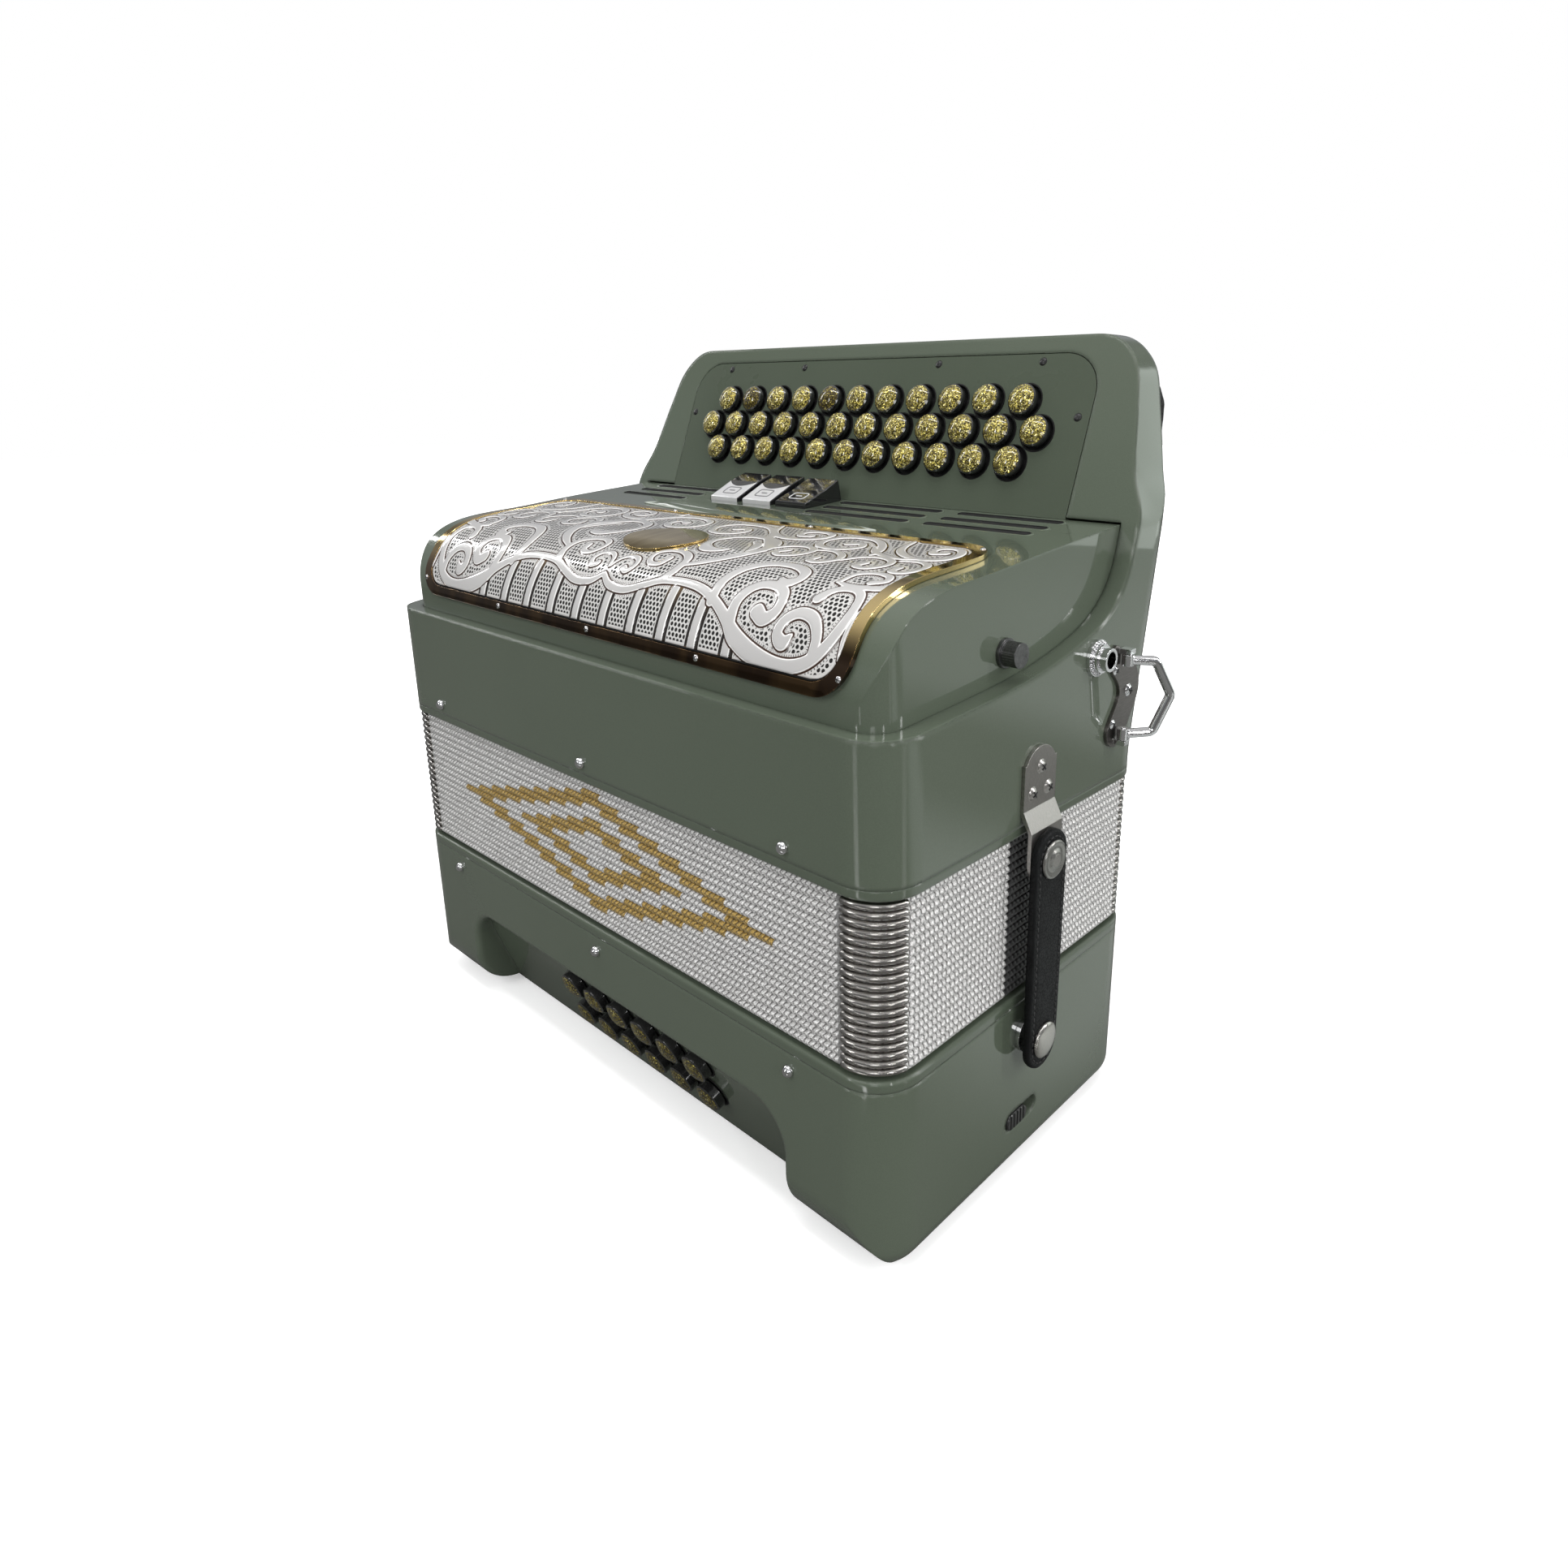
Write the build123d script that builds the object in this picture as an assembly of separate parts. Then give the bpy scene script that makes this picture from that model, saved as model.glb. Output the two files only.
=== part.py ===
from build123d import *
import math
import os

# Diatonic button accordion, three treble rows (34 buttons) and two bass rows (12).
# The instrument stands on its bass end.  Frame: origin at the centre of the
# footprint, on the plane the rubber feet rest on; +Z towards the treble end,
# -Y towards the grille side (front), +X towards the end with the strap ring.
# Millimetres and degrees.

# ------------------------------------------------------------ driving dimensions
LENGTH = 315.0              # long side of casings and bellows (X)
DEPTH = 163.7               # short side of casings and bellows (Y)
HX, HY = LENGTH / 2, DEPTH / 2
CORNER_R = 18.0             # upright corners of the casings
FOOT = 2.0                  # rubber foot height showing below the bass casing
Z_BASS = 75.0               # top of the bass casing
BELLOWS_H = 72.17           # closed bellows including both frames
Z_TREBLE = Z_BASS + BELLOWS_H   # underside of the treble casing
FRAME_H = 4.0               # bellows frame height
FOLD_COUNT = 20
SHOULDER_Z = 195.0          # top of the treble casing's front wall

# fingerboard plane: its foot, lean back from vertical, and length up the slope
FB_Y, FB_Z = 65.0, 246.0
FB_TILT = math.radians(20.8)
FB_LENGTH = 75.5
FB_COS, FB_SIN = math.cos(FB_TILT), math.sin(FB_TILT)
Z_TOP = FB_Z + FB_COS * FB_LENGTH
BEND_LOW, BEND_HIGH = 155.0, 243.0  # heights where the treble back wall bends

# treble buttons
PITCH = 18.6
CAP_R = 6.6
BUTTON_HOLE_R = 7.95
# outer, middle, inner row: slope position, count, first x, lever shift in x, pallet y
ROWS = [
    (47.2, 11, -92.9, 4.0, 4.0),
    (33.85, 12, -102.1, 0.0, -32.0),
    (20.7, 11, -93.1, -2.6, 36.0),
]
# slope position, x, lever shift, pallet y of every key
KEYS = [(slope, x_first + PITCH * i, shift, pallet_y)
        for slope, count, x_first, shift, pallet_y in ROWS for i in range(count)]
DECK_Z = 190.0              # top of the pallet board
DECK_T = 4.95

# bass buttons on a sloped panel: top edge of the panel and slope below horizontal
PANEL_Y, PANEL_Z = -78.0, 47.5
PANEL_TILT = math.radians(70)
PANEL_NORMAL = (-math.sin(PANEL_TILT), -math.cos(PANEL_TILT))   # y, z
PANEL_HALF = 110.0          # half width of the arched recess
BASS_PITCH = 17.2
BASS_CAP_R = 6.5
BASS_MID_X = 13.5
BASS_ROWS = (8.8, 26.9)     # positions down the panel
BASS_X = [BASS_MID_X + (i - 2.5) * BASS_PITCH for i in range(6)]

# fittings shared between pieces
PIN_X = (-118.5, -1.5, 114.5)
PIN_Z_TREBLE, PIN_Z_BASS = 151.9, 68.2
EYELET_Y, EYELET_Z = 36.6, 199.5
SCREW_Y, SCREW_Z = -11.0, 209.0             # cover thumbscrew
STRAP_Z_TOP, STRAP_Z_LOW = 134.5, 61.0      # ends of the bellows straps
SIDE_X = HX + 0.02                          # seat of the fittings on the side
RING_Y, RING_Z_TOP, RING_Z_LOW = 54.0, 196.0, 166.5
RING_X = SIDE_X + 4.2
RING_SWING = 45                             # ring swung out from the side
FEET = [(-131, -52), (131, -52), (-138, 62), (138, 62)]
SLOT_Y0, SLOT_Y1, SLOT_Z = -11.0, 10.0, 24.5    # air lever slot in the +X side


# ------------------------------------------------------------ helpers
def board_plane(slope, out, x=0.0):
    """Plane on the fingerboard: slope up the board, out along its normal (local z)."""
    y = FB_Y + FB_SIN * slope - FB_COS * out
    z = FB_Z + FB_COS * slope + FB_SIN * out
    return Plane(origin=(x, y, z), x_dir=(1, 0, 0), z_dir=(0, -FB_COS, FB_SIN))


def board_yz(slope, out):
    origin = board_plane(slope, out).origin
    return origin.Y, origin.Z


def panel_yz(slope, out):
    """Point on the bass panel: slope down the panel, out along its normal."""
    return (PANEL_Y + math.cos(PANEL_TILT) * slope + PANEL_NORMAL[0] * out,
            PANEL_Z - math.sin(PANEL_TILT) * slope + PANEL_NORMAL[1] * out)


def panel_plane(slope, out, x=0.0):
    return Plane(origin=(x, *panel_yz(slope, out)), x_dir=(1, 0, 0), z_dir=(0, *PANEL_NORMAL))


def in_yz(points):
    return [(0, y, z) for y, z in points]


def extrude_x(face, x0, x1):
    return Pos(x0, 0, 0) * extrude(face, amount=x1 - x0, dir=(1, 0, 0))


def prism_x(points, x0, x1):
    """Closed (y, z) polygon drawn along X."""
    return extrude_x(make_face(Polyline(*in_yz(points), close=True)), x0, x1)


def slab(size_x, size_y, radius, z0, z1, y=0.0):
    """Plate with rounded upright corners."""
    return Pos(0, y, z0) * extrude(RectangleRounded(size_x, size_y, radius), amount=z1 - z0)


def box(x0, x1, y0, y1, z0, z1):
    return Pos((x0 + x1) / 2, (y0 + y1) / 2, (z0 + z1) / 2) * Box(x1 - x0, y1 - y0, z1 - z0)


def cyl_x(x0, x1, y, z, radius):
    return Pos((x0 + x1) / 2, y, z) * Rot(0, 90, 0) * Cylinder(radius, x1 - x0)


def cyl_y(y0, y1, x, z, radius):
    return Pos(x, (y0 + y1) / 2, z) * Rot(90, 0, 0) * Cylinder(radius, y1 - y0)


def fuse(parts):
    body = parts[0]
    for part in parts[1:]:
        body = body + part
    return body


def turned_x(base, y, z, sections):
    """Coaxial cylinders along X from (x0, x1, radius) rows measured from base."""
    return fuse([cyl_x(base + x0, base + x1, y, z, radius) for x0, x1, radius in sections])


def largest(shape):
    return shape.solids().sort_by(SortBy.VOLUME)[-1]


def try_fillet(shape, edges, radii):
    """First radius that gives a sound body; the plain shape if none does."""
    for radius in radii:
        # guards against an empty edge choice or a radius the kernel cannot build
        try:
            rounded = fillet(edges, radius)
            if rounded.is_valid and rounded.volume > 0.5 * shape.volume:
                return rounded
        except Exception:
            continue
    return shape


def sphere_radius(radius, height):
    """Radius of the sphere whose cap has this base radius and height."""
    return (radius * radius + height * height) / (2 * height)


def button(plane_at, slope, x, radius, lift, cap_h, dome_h):
    """Domed cap on a stem; lift is the gap between board and cap."""
    cap = plane_at(slope, lift, x) * extrude(Circle(radius), amount=cap_h)
    seat = plane_at(slope, lift + cap_h, x)
    ball_r = sphere_radius(radius, dome_h)
    dome = seat * (Pos(0, 0, dome_h - ball_r) * Sphere(ball_r)) & (
        seat * (Pos(0, 0, dome_h / 2) * Cylinder(radius, dome_h)))
    stem_z, stem_len = 3.3 + lift, 7.8 + lift   # stem centre above depth 7.5, and length
    stem_z = stem_len / 2 - 0.1
    stem = plane_at(slope, -7.5, x) * (Pos(0, 0, stem_z) * Cylinder(2.5, stem_len))
    return cap + dome + stem


def cut_pin_holes(body, z):
    for x in PIN_X:
        body -= cyl_y(-HY - 1, -HY + 6, x, z, 1.05)
        body -= cyl_y(HY - 6, HY + 1.5, x, z, 1.05)
    return body


def save(name, shape):
    solids = shape.solids()
    shape = Compound(children=list(solids)) if len(solids) > 1 else solids[0]
    export_step(shape, "parts/" + name + ".step")


# ------------------------------------------------------------ treble casing
# y, z along the curved edge of the end walls, from the front wall to the fingerboard
END_WALL_CURVE = [(-74, SHOULDER_Z), (-50, 196.4), (-23, 198.2), (4, 201.4), (27, 206.5),
                  (44, 213.0), (54.5, 221.4), (61, 233), (FB_Y, FB_Z)]
# x, z of the waist beside the fingerboard, seen from the front
WAIST = [(HX, 243.5), (HX - 5.6, 260.0), (HX - 11.6, 284.0), (HX - 14.6, 297.0)]
CAVITY_HX, CAVITY_Y, CAVITY_TOP = 149.5, -75.3, 243.8
WALL = 5.0


def back_y(z):
    """Back of the treble casing, leaning out above the bellows."""
    if z <= BEND_LOW:
        return HY
    if z <= BEND_HIGH:
        return HY + (z - BEND_LOW) * (97.0 - HY) / 88
    return 97.0 + (z - BEND_HIGH) * 7.0 / 74


def treble_block():
    """Side profile drawn along X, with the bends and upright corners rounded."""
    walls = Polyline(*in_yz([(back_y(Z_TOP), Z_TOP), (back_y(BEND_HIGH), BEND_HIGH),
                             (HY, BEND_LOW), (HY, Z_TREBLE), (-HY, Z_TREBLE),
                             (-HY, SHOULDER_Z), (-74, SHOULDER_Z)]))
    curve = Spline(*in_yz(END_WALL_CURVE), tangents=[(0, 1, 0.02), (0, FB_SIN, FB_COS)])
    top = Polyline(*in_yz([(FB_Y, FB_Z), board_yz(FB_LENGTH, 0), (back_y(Z_TOP), Z_TOP)]))
    block = extrude_x(make_face(walls.edges() + curve.edges() + top.edges()), -HX, HX)

    bends = [e for e in block.edges() if abs(e.center().X) < 1 and e.length > 300
             and (abs(e.center().Z - BEND_LOW) < 0.5 or abs(e.center().Z - BEND_HIGH) < 0.5)
             and e.center().Y > 70]
    block = try_fillet(block, bends, (60, 30))

    def end_edges(wanted):
        return [e for e in block.edges()
                if abs(abs(e.center().X) - HX) < 0.01 and wanted(e.center())]

    front = end_edges(lambda c: abs(c.Y + HY) < 0.01 and 150 < c.Z < 194)
    block = try_fillet(block, front, (CORNER_R,))
    back = end_edges(lambda c: c.Y > 81 and c.Z < Z_TOP - 0.5 and abs(c.Y - back_y(c.Z)) < 2.5)
    return try_fillet(block, back, (CORNER_R, 16, 12))


def treble_outline():
    """Outline seen from the front, waisted beside the fingerboard."""
    waist = Spline(*[(x, 0, z) for x, z in WAIST], tangents=[(0, 0, 1), (-0.19, 0, 1)])
    end = waist @ 1
    shoulder = Spline((end.X, 0, end.Z), (end.X - 6.5, 0, end.Z + 12.5),
                      (end.X - 23, 0, Z_TOP), tangents=[(-0.19, 0, 1), (-1, 0, 0)])
    low_z = Z_TREBLE - 5
    lower = Polyline((0, 0, low_z), (HX, 0, low_z), (HX, 0, WAIST[0][1]))
    top = Polyline((end.X - 23, 0, Z_TOP), (0, 0, Z_TOP))
    half = lower.edges() + waist.edges() + shoulder.edges() + top.edges()
    return make_face(half + ShapeList([e.mirror(Plane.YZ) for e in half]))


def treble_casing():
    outline = Pos(0, 150, 0) * extrude(treble_outline(), amount=300, dir=(0, -1, 0))
    outer = (treble_block() & outline).solids()[0]
    rim = [e for e in outer.edges() if abs((e @ 0.5).Z - Z_TOP) < 2.5 and (e @ 0.5).Y > 100]
    outer = try_fillet(outer, rim, (4, 3, 2))

    cavity = prism_x([(CAVITY_Y, 185), (back_y(185) - WALL, 185),
                      (back_y(CAVITY_TOP) - WALL, CAVITY_TOP), (FB_Y + 5.8, CAVITY_TOP),
                      (FB_Y - 0.1, FB_Z - 0.2), (60, 264), (CAVITY_Y, 264)],
                     -CAVITY_HX, CAVITY_HX)
    corners = [e for e in cavity.edges() if abs(abs(e.center().X) - CAVITY_HX) < 0.01
               and abs(e.center().Y - CAVITY_Y) < 0.01]
    cavity = try_fillet(cavity, corners, (11,))
    # space behind the fingerboard
    upper = prism_x([(FB_Y + 2.8, CAVITY_TOP - 8), (back_y(BEND_HIGH) - WALL, 235),
                     (back_y(BEND_HIGH) - WALL, BEND_HIGH), (back_y(306) - 4.5, 306),
                     (board_yz(66.5, -6.2)[0], 306), board_yz(0, -6.2)], -135, 135)
    lower = slab(292, 143, 10, Z_TREBLE - 1, 186, y=-0.8)
    # seat of the button board, and the opening behind it
    face = board_plane(0, 0)
    pocket = face * (Pos(0, 9.05, -3.05) * extrude(RectangleRounded(250.6, 118.1, 17.9),
                                                   amount=20))
    opening = face * (Pos(0, 26, -12) * extrude(RectangleRounded(236, 72, 12), amount=20))
    seat = pocket + opening
    seat = seat & box(-200, 200, 40, 120, FB_Z - 6.0, 330)
    casing = outer - cavity - upper - lower - seat
    casing = cut_pin_holes(casing, PIN_Z_TREBLE)
    casing -= cyl_x(HX - 9, HX + 1, EYELET_Y, EYELET_Z, 4.0)
    return largest(casing)


# ------------------------------------------------------------ button board
BOARD_W, BOARD_T = 249.9, 3.0
# x, slope position
BOARD_SCREWS = [(-99.5, 64.4), (-43.8, 64.4), (42.1, 64.4), (97.0, 64.4),
                (-121.8, 40.6), (119.6, 40.8)]


def button_board():
    face = board_plane(0, 0)
    board = face * (Pos(0, 33.4, -BOARD_T) * extrude(RectangleRounded(BOARD_W, 68.6, 17.5),
                                                     amount=BOARD_T))
    square_foot = face * (Pos(0, 9, -BOARD_T) * extrude(Rectangle(BOARD_W, 20), amount=BOARD_T))
    board = board + square_foot
    for slope, x, _, _ in KEYS:
        board -= board_plane(slope, 0, x) * Cylinder(BUTTON_HOLE_R, 12)
    return board


# ------------------------------------------------------------ treble keys and action
AXLE_SLOPE, AXLE_OUT = -14.0, -8.5
AXLE_Y, AXLE_Z = board_yz(AXLE_SLOPE, AXLE_OUT)
AXLE_R = 1.5
ARM_HALF = 1.2              # half thickness of a lever


def treble_key(slope, x, shift, pallet_y):
    """Button, lever pivoting on the axle, and the pallet it lifts."""
    arm_x = x + shift
    arm_x0, arm_x1 = arm_x - ARM_HALF, arm_x + ARM_HALF
    cap = button(board_plane, slope, x, CAP_R, lift=1.0, cap_h=2.4, dome_h=2.6)
    low, high = AXLE_SLOPE - 1.0, slope + 3.0
    arm = board_plane((low + high) / 2, AXLE_OUT + 1.0, arm_x) * Box(2.4, high - low, 3.0)
    foot = board_plane(slope, -7.5, (x + arm_x) / 2) * Box(abs(arm_x - x) + 4.0, 5.0, 3.0)
    hub = cyl_x(arm_x0, arm_x1, AXLE_Y, AXLE_Z, 3.4)
    tip_z = DECK_Z + 8.0
    forward = prism_x([(AXLE_Y + 1.5, AXLE_Z + 1.2), (AXLE_Y - 2.5, AXLE_Z - 2.4),
                       (pallet_y + 5, tip_z - 3.0), (pallet_y - 6, tip_z - 3.0),
                       (pallet_y - 6, tip_z), (pallet_y + 4.5, tip_z),
                       (AXLE_Y - 3.0, AXLE_Z + 2.5)], arm_x0, arm_x1)
    pallet = box(arm_x - 4.0, arm_x + 4.0, pallet_y - 12.5, pallet_y + 12.5,
                 DECK_Z + 0.03, DECK_Z + 5.2)
    key = cap + arm + foot + hub + forward + pallet
    key -= cyl_x(arm_x - 3, arm_x + 3, AXLE_Y, AXLE_Z, AXLE_R + 0.05)
    return key


def treble_action_board():
    """Pallet board with its air holes, the two axle posts and the axle."""
    deck = slab(298.6, 150.0, 10, DECK_Z - DECK_T, DECK_Z, y=0.2)
    for _, x, shift, pallet_y in KEYS:
        arm_x = x + shift
        deck -= box(arm_x - 3.0, arm_x + 3.0, pallet_y - 10.5, pallet_y + 10.5,
                    DECK_Z - 7, DECK_Z + 2)
    axle = cyl_x(-116, 114, AXLE_Y, AXLE_Z, AXLE_R)
    for x in (-115.0, 112.6):
        deck += (box(x - 1.6, x + 1.6, AXLE_Y - 4, AXLE_Y + 4, DECK_Z - 1, AXLE_Z + 4)
                 - cyl_x(x - 4, x + 4, AXLE_Y, AXLE_Z, AXLE_R))
    return Compound(children=[deck.solids()[0], axle.solids()[0]])


def treble_reed_blocks():
    """One block under each row of pallets, with reed plates on both faces."""
    top, half_depth = DECK_Z - DECK_T, 9.5
    bottom = top - 34.0
    solids = []
    for *_, y in ROWS:
        block = box(-118, 122, y - half_depth, y + half_depth, bottom, top)
        block = chamfer(block.edges().filter_by(Axis.X).group_by(Axis.Z)[0], 5)
        solids.append(block.solids()[0])
        for side in (-1, 1):
            y0, y1 = sorted((y + side * half_depth, y + side * half_depth + side * 1.2))
            for k in range(11):
                x = -104 + 21.0 * k
                reed = box(x - 7.5, x + 7.5, y0, y1, bottom + 6, top - 2)
                solids.append(reed.solids()[0])
    return Compound(children=solids)


# ------------------------------------------------------------ treble cover
# y, z of the cover's outer face, from the front foot up and back
COVER_PROFILE = [(-75.0, 195.0), (-74.7, 203.0), (-72.6, 211.5), (-69.0, 219.0),
                 (-63.4, 226.3), (-56.0, 231.0), (-47.5, 233.8), (-36.0, 235.6),
                 (-20.0, 236.9), (11.0, 240.2), (42.0, 243.0), (64.4, 245.0)]
END_SLOPE = 0.09            # rise of the profile at its back end
COVER_HX, COVER_R, COVER_T = 149.25, 10.8, 3.5
VENT_Y = (57.5, 46.0, 34.5)
VENT_X = [(9.5, 68.5), (77.5, 128.5), (-128.5, -77.5)]      # slot ends
REG_X0, REG_PITCH = -52.5, 23.5
REG_HALF = 10.0             # half width of a register rocker
REG_Y0, REG_Y1 = 39.0, 63.0
REG_AXIS_Y, REG_AXIS_Z = 51.0, 238.0


def offset_profile(distance):
    """Cover profile moved out along its normals."""
    moved = []
    last = len(COVER_PROFILE) - 1
    for k, (y, z) in enumerate(COVER_PROFILE):
        before, after = COVER_PROFILE[max(k - 1, 0)], COVER_PROFILE[min(k + 1, last)]
        dy, dz = after[0] - before[0], after[1] - before[1]
        span = math.hypot(dy, dz)
        # the foot moves straight forward
        normal_y, normal_z = (-dz / span, dy / span) if k else (-1.0, 0.0)
        moved.append((y + distance * normal_y, z + distance * normal_z))
    return moved


def profile_spline(points):
    return Spline(*in_yz(points), tangents=[(0, 0.0, 1), (0, 1, END_SLOPE)])


def cover_solid(distance, half_x, z_low, y_end, radius):
    points = offset_profile(distance)
    y_last, z_last = points[-1]
    points[-1] = (y_end, z_last + (y_end - y_last) * END_SLOPE)
    rest = Polyline(*in_yz([points[-1], (y_end, z_low), (points[0][0], z_low), points[0]]))
    face = make_face(profile_spline(points).edges() + rest.edges())
    body = extrude_x(face, -half_x, half_x)
    edges = [e for e in body.edges() if abs(abs(e.center().X) - half_x) < 0.01
             and not abs(e.center().Y - y_end) < 0.01
             and not abs(e.center().Z - z_low) < 0.01]
    return try_fillet(body, edges, (radius, radius * 0.9, radius * 0.75, radius * 0.5))


def treble_cover():
    cover = cover_solid(0, COVER_HX, DECK_Z + 0.1, 64.4, COVER_R)
    inner = cover_solid(-COVER_T, COVER_HX - COVER_T, DECK_Z - 2, 66.0, COVER_R - COVER_T)
    cover = cover - inner
    cover = cover & slab(2 * COVER_HX, 300, COVER_R, 180, 300, y=75.0)
    # window behind the grille, from the top round to the front
    cover -= prism_x([(-100, 209.0), (-60, 209.0), (-60, 222), (-45, 228), (-8, 230),
                      (-8, 260), (-100, 260)], -124, 124)
    for y in VENT_Y:
        for x0, x1 in VENT_X:
            cover -= Pos((x0 + x1) / 2, y, 235) * extrude(SlotOverall(x1 - x0, 3.6), amount=15)
    for k in range(3):
        x = REG_X0 + REG_PITCH * k
        cover -= box(x - REG_HALF - 0.4, x + REG_HALF + 0.4, REG_Y0 - 0.9, REG_Y1 + 0.9, 225, 260)
    # lugs that carry the register rockers
    for k in range(4):
        x = REG_X0 + REG_PITCH * (k - 0.5)
        cover += box(x - 1.25, x + 1.25, REG_AXIS_Y - 5, REG_AXIS_Y + 5, REG_AXIS_Z - 4, 242.5)
        cover -= cyl_x(x - 2.5, x + 2.5, REG_AXIS_Y, REG_AXIS_Z, 1.56)
    cover -= cyl_x(140, 155, SCREW_Y, SCREW_Z, 2.05)
    return largest(cover)


# ------------------------------------------------------------ registers
PIN_LONG, PIN_SHORT = 12.9, 11.6    # pivot reach at an outer lug and at a shared lug
# y, z of the two top breaks after the front lip, whose z comes first
ROCKER_TOP = (244.6, (REG_Y0 + 13.8, 251.4), (REG_Y1 - 0.8, 254.8))
ROCKER_TOP_LAST = (245.2, (REG_Y0 + 12.0, 249.8), (REG_Y1 - 1.8, 254.6))
# top shape, pivot reach towards -X and towards +X
ROCKERS = [(ROCKER_TOP, PIN_LONG, PIN_SHORT), (ROCKER_TOP, PIN_SHORT, PIN_SHORT),
           (ROCKER_TOP_LAST, PIN_SHORT, PIN_LONG)]


def register_rocker(k):
    (lip_z, middle, crest), reach_minus, reach_plus = ROCKERS[k]
    x = REG_X0 + REG_PITCH * k
    body = prism_x([(REG_Y0, 242.2), (REG_Y0, lip_z), middle, crest, (REG_Y1, 246.0),
                    (REG_Y1 - 4, 240), (REG_AXIS_Y + 5, 234.5), (REG_AXIS_Y - 5, 234.5),
                    (REG_Y0 + 3, 240)], x - REG_HALF, x + REG_HALF)
    body = try_fillet(body, [e for e in body.edges() if e.center().Z > 244], (0.6, 0.4))
    return body + cyl_x(x - reach_minus, x + reach_plus, REG_AXIS_Y, REG_AXIS_Z, 1.5)


# ------------------------------------------------------------ grille plate, trim and badge
TRIM_HX, TRIM_Y, TRIM_Z = 136.5, 5.0, 203.0     # half width, back edge, lower edge
PLATE_HX, PLATE_Y, PLATE_Z = TRIM_HX - 5, TRIM_Y - 4, TRIM_Z + 4.5
PLATE_R, PLATE_GAP = 11, 0.1


def curved_sheet(inner, outer, x0, x1, y_back, z_low):
    """Sheet that follows the cover between two offsets."""
    inside, outside = offset_profile(inner), offset_profile(outer)
    front = Line(*in_yz([outside[0], inside[0]]))
    back = Line(*in_yz([outside[-1], inside[-1]]))
    face = make_face(profile_spline(outside).edges() + profile_spline(inside).edges()
                     + front.edges() + back.edges())
    return extrude_x(face, x0, x1) & box(x0 - 1, x1 + 1, -90, y_back, z_low, 260)


def rounded_sheet(inner, outer, half_x, y_back, z_low, radius):
    """Curved sheet, corners rounded from above at the back and from the front below."""
    sheet = curved_sheet(inner, outer, -half_x, half_x, y_back, z_low)
    shape = RectangleRounded(2 * half_x, 200, radius)
    above = Pos(0, y_back - 100, 150) * extrude(shape, amount=150)
    front = Pos(0, 0, z_low + 100) * Rot(90, 0, 0) * (Pos(0, 0, -200) * extrude(shape, amount=400))
    return sheet & above & front


def grille_plate():
    plate = rounded_sheet(0.15, 1.35, PLATE_HX, PLATE_Y, PLATE_Z, PLATE_R)
    for k in range(17):
        x = -112 + 14 * k
        plate -= Pos(x, -72, 215) * Rot(0, 90, 90) * extrude(SlotOverall(14, 3.0), amount=14,
                                                             both=True)
        if abs(x) > 40:     # the top slots leave room for the badge
            plate -= Pos(x, -30, 230) * Rot(0, 0, 90) * extrude(SlotOverall(26, 3.0), amount=20)
    return largest(plate)


def grille_trim():
    """Border round the plate, and the oval badge."""
    trim = rounded_sheet(0.1, 1.9, TRIM_HX, TRIM_Y, TRIM_Z, 14)
    trim = trim - rounded_sheet(-5, 6, PLATE_HX + PLATE_GAP, PLATE_Y + PLATE_GAP,
                                PLATE_Z - PLATE_GAP, PLATE_R)
    badge = curved_sheet(1.4, 2.6, -24, 28, TRIM_Y, TRIM_Z) & (
        Pos(3.8, -39.0, 200) * extrude(Ellipse(20.5, 14.5), amount=60))
    return Compound(children=[largest(trim), badge.solids()[0]])


def cover_thumbscrew():
    screw = turned_x(0, SCREW_Y, SCREW_Z, [(149.35, 150.6, 5.2), (150.6, 156.2, 4.4)])
    knurls, knurl_r = 30, 4.52
    for k in range(knurls):
        angle = math.radians(360 / knurls * k)
        screw -= cyl_x(151.2, 155.7, SCREW_Y + knurl_r * math.cos(angle),
                       SCREW_Z + knurl_r * math.sin(angle), 0.26)
    return screw + cyl_x(144.0, 149.4, SCREW_Y, SCREW_Z, 2.0)


# ------------------------------------------------------------ bellows
def bellows_frame(z0, z1, fold_z):
    """Frame with its outer edges softened at fold_z, the side facing the folds."""
    frame = (slab(LENGTH, DEPTH, CORNER_R, z0, z1)
             - slab(LENGTH - 26, DEPTH - 26, 8, z0 - 1, z1 + 1))
    edges = [e for e in frame.edges() if e.length > 5
             and (abs(e.center().X) > HX - 8 or abs(e.center().Y) > HY - 8)
             and abs(e.center().Z - fold_z) < 0.01]
    return try_fillet(frame, edges, (1.2, 0.8))


def treble_bellows_frame():
    return bellows_frame(Z_TREBLE - FRAME_H, Z_TREBLE - 0.05, fold_z=Z_TREBLE - FRAME_H)


def bass_bellows_frame():
    return bellows_frame(Z_BASS + 0.05, Z_BASS + FRAME_H, fold_z=Z_BASS + FRAME_H)


def bellows_folds():
    z0, z1 = Z_BASS + FRAME_H + 0.1, Z_TREBLE - FRAME_H - 0.1
    fold_h = (z1 - z0) / FOLD_COUNT
    rings = []
    for k in range(FOLD_COUNT):
        ring = extrude(RectangleRounded(LENGTH - 2.4, DEPTH - 2.4, CORNER_R - 1.2), amount=fold_h)
        levels = ring.edges().group_by(Axis.Z)
        ring = chamfer(list(levels[0]) + list(levels[-1]), 0.8)
        rings.append(Pos(0, 0, z0 + k * fold_h) * ring)
    return fuse(rings) - slab(LENGTH - 36, DEPTH - 36, 6, z0 - 1, z1 + 1)


# ------------------------------------------------------------ bass casing
NOSE_R = 21                 # rounding of the lower front edge


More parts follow.
